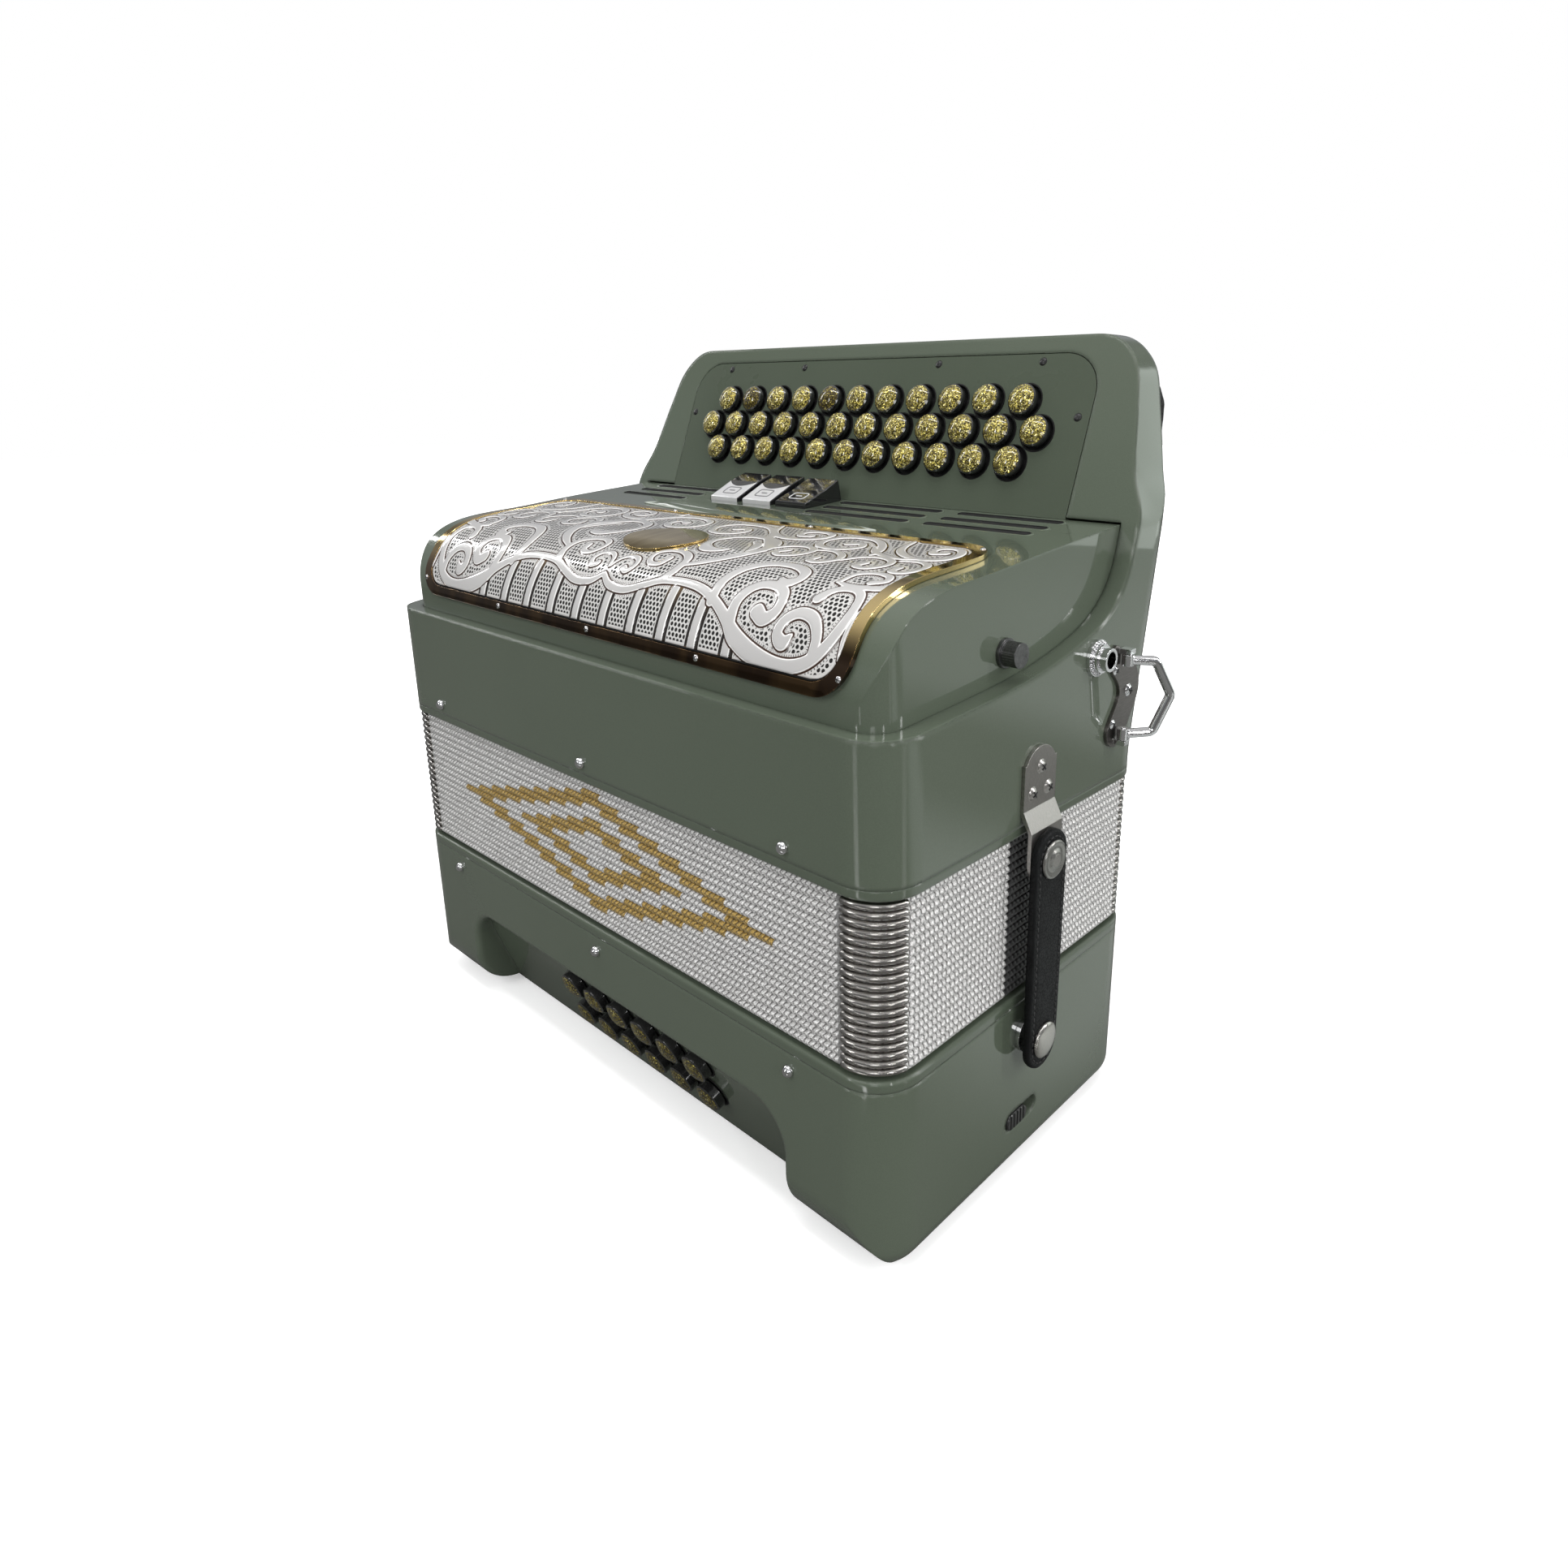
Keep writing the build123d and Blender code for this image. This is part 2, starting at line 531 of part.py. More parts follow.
def nose_prism():
    """Prism round the casing, with the lower front edge rounded off."""
    rest = Polyline(*in_yz([(-HY, FOOT + NOSE_R), (-HY, Z_BASS + 1), (HY + 1, Z_BASS + 1),
                            (HY + 1, FOOT - 0.5), (-HY + NOSE_R, FOOT - 0.5),
                            (-HY + NOSE_R, FOOT)]))
    inset = NOSE_R - NOSE_R * math.sin(math.pi / 4)
    nose = ThreePointArc(*in_yz([(-HY + NOSE_R, FOOT), (-HY + inset, FOOT + inset),
                                 (-HY, FOOT + NOSE_R)]))
    return extrude_x(make_face(rest.edges() + nose.edges()), -HX - 1, HX + 1)


def panel_recess(grow):
    """Arched space in front of the button panel, enlarged by grow."""
    shape = RectangleRounded(2 * (PANEL_HALF + grow), 120, 17 + grow)
    prism = Pos(0, -HY - 2, PANEL_Z + grow - 60) * Rot(90, 0, 0) * (
        Pos(0, 0, -40) * extrude(shape, amount=40))
    in_front = prism_x([panel_yz(-40, -grow), panel_yz(70, -grow), (-120, -40), (-120, 100)],
                       -200, 200)
    return prism & in_front


def bass_casing():
    casing = slab(LENGTH, DEPTH, CORNER_R, FOOT, Z_BASS)
    casing = try_fillet(casing, casing.edges().group_by(Axis.Z)[0], (9.0, 7.0))
    nosed = casing & nose_prism()
    # guards against a failed intersection
    if nosed.volume > 0.9 * casing.volume:
        casing = nosed
    casing = casing - panel_recess(0)
    rim = [e for e in casing.edges() if abs((e @ 0.5).Y + HY) < 0.02
           and abs((e @ 0.5).X) < PANEL_HALF + 1 and (e @ 0.5).Z < PANEL_Z + 0.1
           and (e @ 0.5).Z > 24 and e.length > 2]
    casing = try_fillet(casing, rim, (2.5, 1.5, 1.0))
    # hollow, keeping a wall behind the panel
    casing -= slab(LENGTH - 12, DEPTH - 12, 12, 15.0, Z_BASS + 1) - panel_recess(4)
    casing -= box(-138, 138, -34, 40, FOOT - 1, 9.0)    # hand strap recess on the underside
    for slope in BASS_ROWS:
        for x in BASS_X:
            casing -= panel_plane(slope, 0, x) * Cylinder(7.3, 12)
    casing -= Pos(HX - 4, (SLOT_Y0 + SLOT_Y1) / 2, SLOT_Z) * Rot(0, 90, 0) * (
        Rot(0, 0, 90) * extrude(SlotOverall(SLOT_Y1 - SLOT_Y0, 7.6), amount=12, both=True))
    for k in range(3):                                  # air vents through the floor
        casing -= box(118 + 7 * k, 121.5 + 7 * k, -6, 6, 0, 20)
    casing = cut_pin_holes(casing, PIN_Z_BASS)
    for x, y in FEET:
        casing -= Pos(x, y, FOOT + 1.5) * Cylinder(7.05, 3.1)
    return largest(casing)


def bass_buttons(slope):
    """One row of six buttons, each with a disc at the foot of its stem."""
    row = []
    for x in BASS_X:
        cap = button(panel_plane, slope, x, BASS_CAP_R, lift=0.8, cap_h=3.4, dome_h=1.8)
        disc = panel_plane(slope, -8.5, x) * Cylinder(3.5, 2.0)
        row.append((cap + disc).solids()[0])
    return Compound(children=row)


def bass_reed_blocks():
    """Reed pan, three blocks on it and four posts under it."""
    solids = [slab(LENGTH - 30, 110, 8, 52.0, 56.0, y=17).solids()[0]]
    for y in (-8, 20, 48):
        solids.append(box(-105, 105, y - 8, y + 8, 56.05, 74.0).solids()[0])
    for x in (-135, 135):
        for y in (-30, 66):
            solids.append(box(x - 4, x + 4, y - 4, y + 4, 15.05, 51.95).solids()[0])
    return Compound(children=solids)


def air_lever():
    """Ribbed thumb piece, slide bar and leg, and the gate over the vents."""
    thumb = Pos(HX - 6.2, SLOT_Y0 + 7.0, SLOT_Z) * Rot(0, 90, 0) * (
        Rot(0, 0, 90) * extrude(SlotOverall(13.2, 6.8), amount=7.1))
    outer_edges = [e for e in thumb.edges() if abs(e.center().X - (HX + 0.9)) < 0.1]
    thumb = try_fillet(thumb, outer_edges, (0.8, 0.5))
    for k in range(5):
        thumb -= Pos(HX + 1.2, SLOT_Y0 + 2.6 + 2.1 * k, SLOT_Z) * Box(1.4, 0.8, 9)
    bar = box(HX - 16, HX - 6.1, SLOT_Y0 + 1.0, SLOT_Y0 + 12.0, SLOT_Z - 3.0, SLOT_Z + 3.0)
    leg = box(HX - 20, HX - 14, SLOT_Y0 + 1.0, SLOT_Y0 + 9.0, 15.15, SLOT_Z + 3.0)
    gate = box(114, HX - 14.5, -10.0, 10.0, 15.1, 17.0)
    return thumb + bar + leg + gate


# ------------------------------------------------------------ fittings
# y, z round the strap ring plate
RING_PLATE = [(51.5, 201.4), (59.5, 196.5), (67.0, 190.5), (70.0, 182.0), (65.0, 171.5),
              (58.5, 163.5), (52.0, 160.8), (46.6, 165.5), (50.5, 174.5), (54.5, 182.0),
              (50.5, 189.0), (45.8, 196.5)]
# x out from the side, z: stepped section of the bellows strap bracket
BRACKET_STEP = [(0, 153.2), (1.5, 153.2), (5.1, 146.0), (5.1, 124.6), (3.6, 124.6),
                (3.6, 146.0), (0, 152.2)]


def screw_head(plane, radius=2.6, height=1.3):
    """Domed head standing on the plane."""
    ball_r = sphere_radius(radius, height)
    head = plane * Cylinder(radius, 2 * height) & (
        plane * (Pos(0, 0, height - ball_r) * Sphere(ball_r)))
    head = head & (plane * (Pos(0, 0, height) * Box(20, 20, 2 * height)))
    return head.solids()[0]


def side_plane(out, y, z):
    return Plane(origin=(SIDE_X + out, y, z), x_dir=(0, 1, 0), z_dir=(1, 0, 0))


def strap_bracket():
    outline = Pos(SIDE_X, 0, 0) * (
        Plane.YZ * (Pos(0, 161.0) * (Rectangle(20, 18) + Pos(0, 4.5) * Circle(10))))
    top = extrude(outline.faces()[0], amount=1.5, dir=(1, 0, 0))
    section = Polyline(*[(SIDE_X + out, 0, z) for out, z in BRACKET_STEP], close=True)
    step = Pos(0, 10, 0) * extrude(make_face(section), amount=20, dir=(0, -1, 0))
    bracket = top + step
    bracket = bracket & (cyl_x(150, 170, 0, STRAP_Z_TOP, 10.0)
                         + box(150, 170, -10.5, 10.5, STRAP_Z_TOP, 180))
    return largest(bracket)


def ring_plate():
    """Plate with two lugs and the short pins the ring turns on."""
    outline = Spline(*RING_PLATE, periodic=True)
    face = Plane.YZ * make_face(outline.edges())
    base = (Pos(SIDE_X, 0, 0) * extrude(face, amount=1.4, dir=(1, 0, 0))).solids()[0]
    for z, up in ((RING_Z_TOP, 1), (RING_Z_LOW, -1)):
        z0, z1 = sorted((z + 2.4 * up, z + 4.4 * up))
        lug = box(SIDE_X + 1.2, SIDE_X + 6.2, RING_Y - 2, RING_Y + 2, z0, z1)
        pivot = Pos(RING_X, RING_Y, z) * Cylinder(0.9, 4.9)
        base = base + lug + pivot
    return largest(base)


def side_fittings():
    """Strap bracket, rivet, ring plate and their screws on the +X side."""
    rivet = turned_x(SIDE_X, 0, STRAP_Z_TOP,
                     [(5.1, 8.05, 2.0), (8.05, 8.9, 6.6), (8.9, 9.9, 2.4)])
    solids = [strap_bracket(), rivet.solids()[0], ring_plate()]
    for y, z in ((0, 167.7), (5.0, 158.8), (-5.0, 158.8)):
        solids.append(screw_head(side_plane(1.5, y, z)))
    solids.append(screw_head(side_plane(1.4, 61.5, 181.9)))
    for y, z in ((50.2, 192.0), (50.4, 170.4)):
        solids.append(screw_head(side_plane(1.4, y, z), radius=1.9, height=0.9))
    return solids


def strap_ring():
    """Bent wire ring with an eye at each end, on its upright pivot line."""
    path = FilletPolyline((0, 0, RING_Z_TOP), (10.8, 0, 195.4), (17.6, 0, 182.0),
                          (11.4, 0, 167.1), (0, 0, RING_Z_LOW), radius=2.6)
    section = Plane(origin=(0, 0, RING_Z_TOP), z_dir=path % 0) * Circle(1.9)
    wire = sweep(section, path=path)
    top_eye = Pos(0, 0, RING_Z_TOP) * Cylinder(2.3, 4.4)
    low_eye = Pos(0, 0, RING_Z_LOW) * Cylinder(2.3, 4.4)
    ring = wire + top_eye + low_eye
    ring -= Pos(0, 0, 181) * Cylinder(0.95, 60)
    return Pos(RING_X, RING_Y, 0) * Rot(0, 0, 90 - RING_SWING) * ring


def bellows_pin(x, y, z, inward):
    """Round-headed pin; inward is the sign of y it is driven along."""
    y0, y1 = sorted((y, y + inward * 5.5))
    shank = cyl_y(y0, y1, x, z, 1.0)
    seat = Plane(origin=(x, y, z), x_dir=(1, 0, 0), z_dir=(0, -inward, 0))
    head = seat * Cylinder(2.3, 4.4) & (seat * (Pos(0, 0, 0.2) * Sphere(2.3))) & (
        seat * (Pos(0, 0, 5) * Box(20, 20, 10)))
    return (shank + head).solids()[0]


def bellows_pins(z, back):
    """Pins along the front wall and along the back wall at y = back."""
    return [bellows_pin(x, y, z, inward) for x in PIN_X for y, inward in ((-HY, 1), (back, -1))]


def treble_fittings():
    solids = side_fittings()
    solids += [solid.mirror(Plane.YZ) for solid in side_fittings()]
    solids.append(strap_ring().mirror(Plane.YZ).solids()[0])
    eyelet = turned_x(HX, EYELET_Y, EYELET_Z,
                      [(0.02, 1.6, 7.0), (1.6, 3.6, 5.4), (-6, 0.1, 3.95), (3.6, 6.6, 4.4)])
    eyelet -= cyl_x(HX - 10, HX + 10, EYELET_Y, EYELET_Z, 3.2)
    solids.append(eyelet.solids()[0])
    solids += bellows_pins(PIN_Z_TREBLE, back=HY + 0.2)
    for x, slope in BOARD_SCREWS:
        solids.append(screw_head(board_plane(slope, 0.0, x), radius=1.8, height=0.6))
    return Compound(children=solids)


def bellows_straps():
    """Round-ended strap with its snap cap, one at each end."""
    x0, x1 = HX + 5.22, HX + 7.9
    band = (box(x0, x1, -9.5, 9.5, STRAP_Z_LOW, STRAP_Z_TOP)
            + cyl_x(x0, x1, 0, STRAP_Z_TOP, 9.5) + cyl_x(x0, x1, 0, STRAP_Z_LOW, 9.5))
    band -= cyl_x(x0 - 1, x1 + 1, 0, STRAP_Z_TOP, 2.06)
    snap_x, ball_r = x1 + 2.6, 10.6
    snap = cyl_x(x1, x1 + 1.0, 0, STRAP_Z_LOW, 7.0) + (
        cyl_x(x1 + 0.9, snap_x, 0, STRAP_Z_LOW, 7.0)
        & (Pos(snap_x - ball_r, 0, STRAP_Z_LOW) * Sphere(ball_r)))
    strap = (band + snap).solids()[0]
    return Compound(children=[strap, strap.mirror(Plane.YZ)])


def bass_fittings():
    """Snap studs, bellows pins and hand strap clamps."""
    stud = turned_x(HX, 0, STRAP_Z_LOW, [(0.02, 2.0, 7.5), (2.0, 4.9, 4.0)])
    solids = [stud.solids()[0], stud.mirror(Plane.YZ).solids()[0]]
    solids += bellows_pins(PIN_Z_BASS, back=HY)
    for x in (-126, 126):
        solids.append(box(x - 9, x + 9, -27, 33, 6.6, 8.9).solids()[0])
    return Compound(children=solids)


# ------------------------------------------------------------ hand strap, feet, palm pad
# distance behind the casing's back at height z_back, then z: y = back_y(z_back) + distance
PALM_PAD = [(262, 0.4, 262.0), (262, 6.5, 264.0), (280, 9.5, 276.0),
            (290, 9.0, 290.0), (300, 5.0, 300.5), (303, 0.4, 303.0)]


def bass_hand_strap():
    strap = box(-131, 131, -25, 31, 3.4, 6.4)
    return try_fillet(strap, strap.edges().filter_by(Axis.Z), (10,))


def rubber_feet():
    return Compound(children=[(Pos(x, y, 2.0) * Cylinder(7.0, 4.0)).solids()[0]
                              for x, y in FEET])


def palm_pad():
    points = in_yz([(back_y(z_back) + distance, z) for z_back, distance, z in PALM_PAD])
    face = make_face(Spline(*points).edges() + Line(points[-1], points[0]).edges())
    return extrude_x(face, -133, 133)


# ------------------------------------------------------------ output
os.makedirs("parts", exist_ok=True)
for piece in (treble_casing, button_board, treble_action_board, treble_reed_blocks,
              treble_cover, grille_plate, grille_trim, cover_thumbscrew,
              treble_bellows_frame, bass_bellows_frame, bellows_folds, bass_casing,
              bass_reed_blocks, air_lever, treble_fittings, strap_ring, bellows_straps,
              bass_fittings, bass_hand_strap, rubber_feet, palm_pad):
    save(piece.__name__, piece())
for number, key in enumerate(KEYS, 1):
    save("treble_key_%02d" % number, treble_key(*key))
for k in range(3):
    save("register_rocker_%d" % (k + 1), register_rocker(k))
for number, slope in enumerate(BASS_ROWS, 1):
    save("bass_buttons_row_%d" % number, bass_buttons(slope))
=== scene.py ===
"""A button accordion standing on its bass end, drawn in millimetres (meshes become metres).

+Z is up: bass end below, bellows in the middle, treble end on top. The long side runs along X,
-Y is the front and the tilted button board is towards +Y. x = y = 0 is the middle of the casing.
Shader numbers are in metres, because materials read object coordinates.
"""
import bpy
import math
import numpy as np
from mathutils import Matrix, Vector


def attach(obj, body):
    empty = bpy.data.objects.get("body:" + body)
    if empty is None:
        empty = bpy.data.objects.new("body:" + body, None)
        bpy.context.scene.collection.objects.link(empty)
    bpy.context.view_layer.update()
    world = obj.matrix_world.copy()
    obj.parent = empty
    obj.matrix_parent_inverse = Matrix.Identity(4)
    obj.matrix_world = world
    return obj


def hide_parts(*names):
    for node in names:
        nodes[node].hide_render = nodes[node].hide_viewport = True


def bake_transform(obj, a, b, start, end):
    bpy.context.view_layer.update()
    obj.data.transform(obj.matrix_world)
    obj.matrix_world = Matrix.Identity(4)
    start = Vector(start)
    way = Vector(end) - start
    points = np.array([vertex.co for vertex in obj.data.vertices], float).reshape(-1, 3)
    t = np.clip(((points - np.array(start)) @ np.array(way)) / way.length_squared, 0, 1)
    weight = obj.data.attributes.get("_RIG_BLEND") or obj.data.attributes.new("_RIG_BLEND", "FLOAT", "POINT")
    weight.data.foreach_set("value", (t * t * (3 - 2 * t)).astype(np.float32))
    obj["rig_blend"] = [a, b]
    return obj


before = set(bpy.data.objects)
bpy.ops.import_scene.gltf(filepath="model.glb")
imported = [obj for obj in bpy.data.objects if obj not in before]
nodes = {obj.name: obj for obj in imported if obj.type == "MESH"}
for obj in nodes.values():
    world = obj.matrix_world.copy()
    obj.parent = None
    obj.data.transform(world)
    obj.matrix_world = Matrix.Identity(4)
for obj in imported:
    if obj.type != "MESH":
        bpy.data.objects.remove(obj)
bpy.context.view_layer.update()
scene = bpy.context.scene

# Casing footprint
HALF_X, HALF_Y, CORNER_R = 157.5, 81.85, 18.0

# Planes of the treble button board and the bass button plate: (y, z) of origin and normal
BOARD_TILT = math.radians(20.8)
BOARD_ORIGIN = (65, 246)
BOARD_NORMAL = (-math.cos(BOARD_TILT), math.sin(BOARD_TILT))
BASS_TILT = math.radians(70)
BASS_ORIGIN = (-78, 47.5)
BASS_NORMAL = (-math.sin(BASS_TILT), -math.cos(BASS_TILT))

REGISTER_X = (-52.5, -29.0, -5.5)


def board_point(x, along, height):
    """Point on the button board: distance up its slope and height above it."""
    ny, nz = BOARD_NORMAL
    return (x, BOARD_ORIGIN[0] + nz * along + ny * height,
            BOARD_ORIGIN[1] - ny * along + nz * height)


def bass_point(x, along):
    """Point on the bass button plate, by distance down its slope."""
    ny, nz = BASS_NORMAL
    return (x, BASS_ORIGIN[0] - nz * along, BASS_ORIGIN[1] + ny * along)


# ------------------------------------------------------------------ shader helpers
def grey(level):
    return (level,) * 3


def shade(colour, factor):
    return tuple(channel * factor for channel in colour)


class Nodes:
    """Builds a node tree; every method returns the output socket of what it adds."""

    def __init__(self, tree):
        self.tree = tree
        tree.nodes.clear()
        self.coord_node = None

    def new(self, kind, **settings):
        node = self.tree.nodes.new("ShaderNode" + kind)
        for key, value in settings.items():
            setattr(node, key, value)
        return node

    def put(self, socket, value):
        """Link a socket, or set a plain value."""
        if isinstance(value, bpy.types.NodeSocket):
            self.tree.links.new(value, socket)
        elif isinstance(value, tuple) and len(value) == 3 and socket.type == "RGBA":
            socket.default_value = (*value, 1.0)
        else:
            socket.default_value = value

    def coord(self, output="Object"):
        if self.coord_node is None:
            self.coord_node = self.new("TexCoord")
        return self.coord_node.outputs[output]

    def separate(self, output="Object"):
        node = self.new("SeparateXYZ")
        self.put(node.inputs[0], self.coord(output))
        return node.outputs[0], node.outputs[1], node.outputs[2]

    def math(self, operation, first, second=0.0):
        node = self.new("Math", operation=operation)
        self.put(node.inputs[0], first)
        self.put(node.inputs[1], second)
        return node.outputs[0]

    def add(self, first, second):
        return self.math("ADD", first, second)

    def sub(self, first, second):
        return self.math("SUBTRACT", first, second)

    def mul(self, first, *others):
        for other in others:
            first = self.math("MULTIPLY", first, other)
        return first

    def div(self, first, second):
        return self.math("DIVIDE", first, second)

    def above(self, value, limit):
        return self.math("GREATER_THAN", value, limit)

    def below(self, value, limit):
        return self.math("LESS_THAN", value, limit)

    def larger(self, first, second):
        return self.math("MAXIMUM", first, second)

    def smaller(self, first, second):
        return self.math("MINIMUM", first, second)

    def absolute(self, value):
        return self.math("ABSOLUTE", value)

    def sine(self, value):
        return self.math("SINE", value)

    def square(self, value):
        return self.math("POWER", value, 2.0)

    def invert(self, value):
        return self.sub(1.0, value)

    def centred_fraction(self, value):
        return self.sub(self.math("FRACT", value), 0.5)

    def hypot(self, first, second):
        return self.math("SQRT", self.add(self.square(first), self.square(second)))

    def map_range(self, value, from_min, from_max, to_min=0.0, to_max=1.0, kind="LINEAR"):
        node = self.new("MapRange", interpolation_type=kind)
        self.put(node.inputs["Value"], value)
        node.inputs["From Min"].default_value = from_min
        node.inputs["From Max"].default_value = from_max
        node.inputs["To Min"].default_value = to_min
        node.inputs["To Max"].default_value = to_max
        return node.outputs[0]

    def step(self, value, low, high):
        """Smooth step: 0 below low, 1 above high."""
        return self.map_range(value, low, high, kind="SMOOTHSTEP")

    def spread(self, noise, to_min, to_max):
        """The middle range of a noise spread over to_min..to_max."""
        return self.map_range(noise, 0.3, 0.7, to_min, to_max)

    def mix(self, factor, first, second):
        node = self.new("Mix", data_type="RGBA")
        self.put(node.inputs[0], factor)
        self.put(node.inputs[6], first)
        self.put(node.inputs[7], second)
        return node.outputs[2]

    def mottle(self, noise, first, second, low=0.3, high=0.7):
        """Two colours blended by the noise range low..high."""
        return self.mix(self.map_range(noise, low, high), first, second)

    def mix_shader(self, factor, first, second):
        node = self.new("MixShader")
        for socket, value in zip(node.inputs, (factor, first, second)):
            self.put(socket, value)
        return node.outputs[0]

    def ramp(self, value, stops):
        """Colour ramp; stops are (position, colour), the two ends first."""
        node = self.new("ValToRGB")
        elements = node.color_ramp.elements
        for index, (position, colour) in enumerate(stops):
            element = elements[index] if index < 2 else elements.new(position)
            element.position = position
            element.color = (*colour, 1)
        self.put(node.inputs[0], value)
        return node.outputs[0]

    def noise(self, scale, detail=3.0, rough=0.5, stretch=None, distortion=0.0):
        """Noise in object coordinates, optionally multiplied by stretch."""
        vector = self.coord()
        if stretch:
            vector = self.vector_math("MULTIPLY", vector, stretch)
        node = self.new("TexNoise")
        self.put(node.inputs["Vector"], vector)
        node.inputs["Scale"].default_value = scale
        node.inputs["Detail"].default_value = detail
        node.inputs["Roughness"].default_value = rough
        node.inputs["Distortion"].default_value = distortion
        return node.outputs[0]

    def vector_math(self, operation, *values):
        node = self.new("VectorMath", operation=operation)
        for socket, value in zip(node.inputs, values):
            self.put(socket, value)
        return node.outputs[0]

    def voronoi(self, scale, feature, output):
        node = self.new("TexVoronoi", feature=feature)
        self.put(node.inputs["Vector"], self.coord())
        node.inputs["Scale"].default_value = scale
        return node.outputs[output]

    def attribute(self, name):
        return self.new("Attribute", attribute_name=name).outputs["Fac"]

    def bump(self, height, distance, strength, normal=None):
        node = self.new("Bump")
        self.put(node.inputs["Height"], height)
        node.inputs["Distance"].default_value = distance
        node.inputs["Strength"].default_value = strength
        if normal is not None:
            self.put(node.inputs["Normal"], normal)
        return node.outputs[0]

    def bevel(self, radius):
        node = self.new("Bevel", samples=4)
        node.inputs["Radius"].default_value = radius
        return node.outputs[0]


class Shader(Nodes):
    """A material with one Principled surface."""

    def __init__(self, name):
        self.material = bpy.data.materials.new(name)
        self.material.use_nodes = True
        super().__init__(self.material.node_tree)
        self.output = self.new("OutputMaterial").inputs[0]
        self.surface = self.new("BsdfPrincipled")
        self.put(self.output, self.surface.outputs[0])

    def set(self, **inputs):
        """Set inputs of the Principled node; underscores stand for spaces."""
        for key, value in inputs.items():
            self.put(self.surface.inputs[key.replace("_", " ")], value)
        return self.material


# ------------------------------------------------------------------ materials
def lacquer(name, colour, second_colour, rough=0.17, coat=1.0, edge_radius=0.0):
    """Clear-coated paint with faint clouding, fine lighter specks painted as glints, and orange peel."""
    mat = Shader(name)
    base = mat.mottle(mat.noise(9.0, detail=2.0), colour, second_colour)
    # specks painted lighter than the paint (1.6 times its colour): painted glints
    glint_specks = mat.map_range(mat.noise(2600.0, detail=1.0), 0.35, 0.65, to_max=0.12)
    base = mat.mix(glint_specks, base, shade(colour, 1.6))
    edge = mat.bevel(edge_radius) if edge_radius else None
    peel = mat.bump(mat.noise(420.0, detail=2.0), distance=0.00001, strength=1.0, normal=edge)
    roughness = mat.spread(mat.noise(35.0, detail=4.0), rough * 0.85, rough * 1.2)
    if edge:
        mat.set(Coat_Normal=edge)
    return mat.set(Base_Color=base, Roughness=roughness, Specular_IOR_Level=0.08,
                   Coat_Weight=coat, Coat_Roughness=0.03, Coat_IOR=1.52, Normal=peel)


GREEN_COLOUR = (0.079, 0.097, 0.071)
GREEN_CLOUD = (0.087, 0.106, 0.078)
GREEN = lacquer("green_lacquer", GREEN_COLOUR, GREEN_CLOUD, edge_radius=0.0024)
COVER_GREEN = lacquer("green_cover", GREEN_COLOUR, GREEN_CLOUD, edge_radius=0.0008)
FRAME_GREEN = lacquer("green_frame", shade(GREEN_COLOUR, 0.92), GREEN_COLOUR, edge_radius=0.0012)
# light green for the crescent rims: a painted highlight
RIM_HIGHLIGHT = lacquer("green_rim_painted_highlight", (0.30, 0.33, 0.285), (0.36, 0.39, 0.34))
BOARD_LACQUER = lacquer("board_lacquer", (0.058, 0.072, 0.051), (0.064, 0.079, 0.057),
                        rough=0.3, coat=0.35)


def chrome(name, colour, rough):
    mat = Shader(name)
    haze = mat.noise(260.0)
    return mat.set(Base_Color=mat.mottle(haze, shade(colour, 0.93), colour), Metallic=1.0,
                   Roughness=mat.spread(mat.noise(60.0, detail=4.0), rough * 0.7, rough * 1.4),
                   Normal=mat.bump(haze, distance=0.000004, strength=0.4,
                                   normal=mat.bevel(0.0004)))


def brushed_metal(name, colour, rough, stretch, dark=0.7):
    """Metal with brush marks; dark is the brightness at the bottom of a mark."""
    mat = Shader(name)
    marks = mat.noise(1.0, detail=4.0, rough=0.65, stretch=stretch)
    return mat.set(Base_Color=mat.mottle(marks, shade(colour, dark), colour), Metallic=1.0,
                   Roughness=mat.spread(marks, rough * 0.8, rough * 1.35),
                   Normal=mat.bump(marks, distance=0.00002, strength=0.5,
                                   normal=mat.bevel(0.0004)))


CHROME = chrome("chrome", (0.78, 0.78, 0.79), rough=0.07)
NICKEL = brushed_metal("nickel", (0.66, 0.64, 0.60), rough=0.2, stretch=(900, 900, 12000))
STEEL = brushed_metal("brushed_steel", (0.37, 0.365, 0.345), rough=0.3,
                      stretch=(400, 400, 9000))
GUNMETAL = brushed_metal("gunmetal_corner", (0.47, 0.452, 0.43), rough=0.2,
                         stretch=(120, 120, 9000), dark=0.75)
KNOB_STEEL = brushed_metal("knob_steel", grey(0.20), rough=0.32, stretch=(9000, 500, 500),
                           dark=0.5)


def trim_gold():
    """Polished gold, painted bright on top and turning to a deep bronze lower down as painted shade."""
    mat = Shader("trim_gold")
    height = mat.separate()[2]
    # the gold is painted bright above 215.5 to 228 mm; the dark bronze below is painted shade on the trim's
    # lower faces
    top = mat.step(height, 0.2155, 0.228)
    gold = mat.mottle(mat.noise(14.0, stretch=(6, 1, 1)), (0.62, 0.42, 0.13),
                      (0.90, 0.68, 0.30), low=0.4, high=0.6)
    shaded_bronze = mat.mottle(mat.noise(30.0, detail=2.0, stretch=(3, 1, 1)), (0.075, 0.038, 0.014),
                        (0.20, 0.115, 0.045), low=0.45, high=0.6)
    return mat.set(Base_Color=mat.mix(top, shaded_bronze, gold), Metallic=1.0,
                   Roughness=mat.spread(mat.noise(90.0), 0.05, 0.12),
                   Normal=mat.bevel(0.0005), Coat_Weight=0.6, Coat_Roughness=0.03)


TRIM_GOLD = trim_gold()


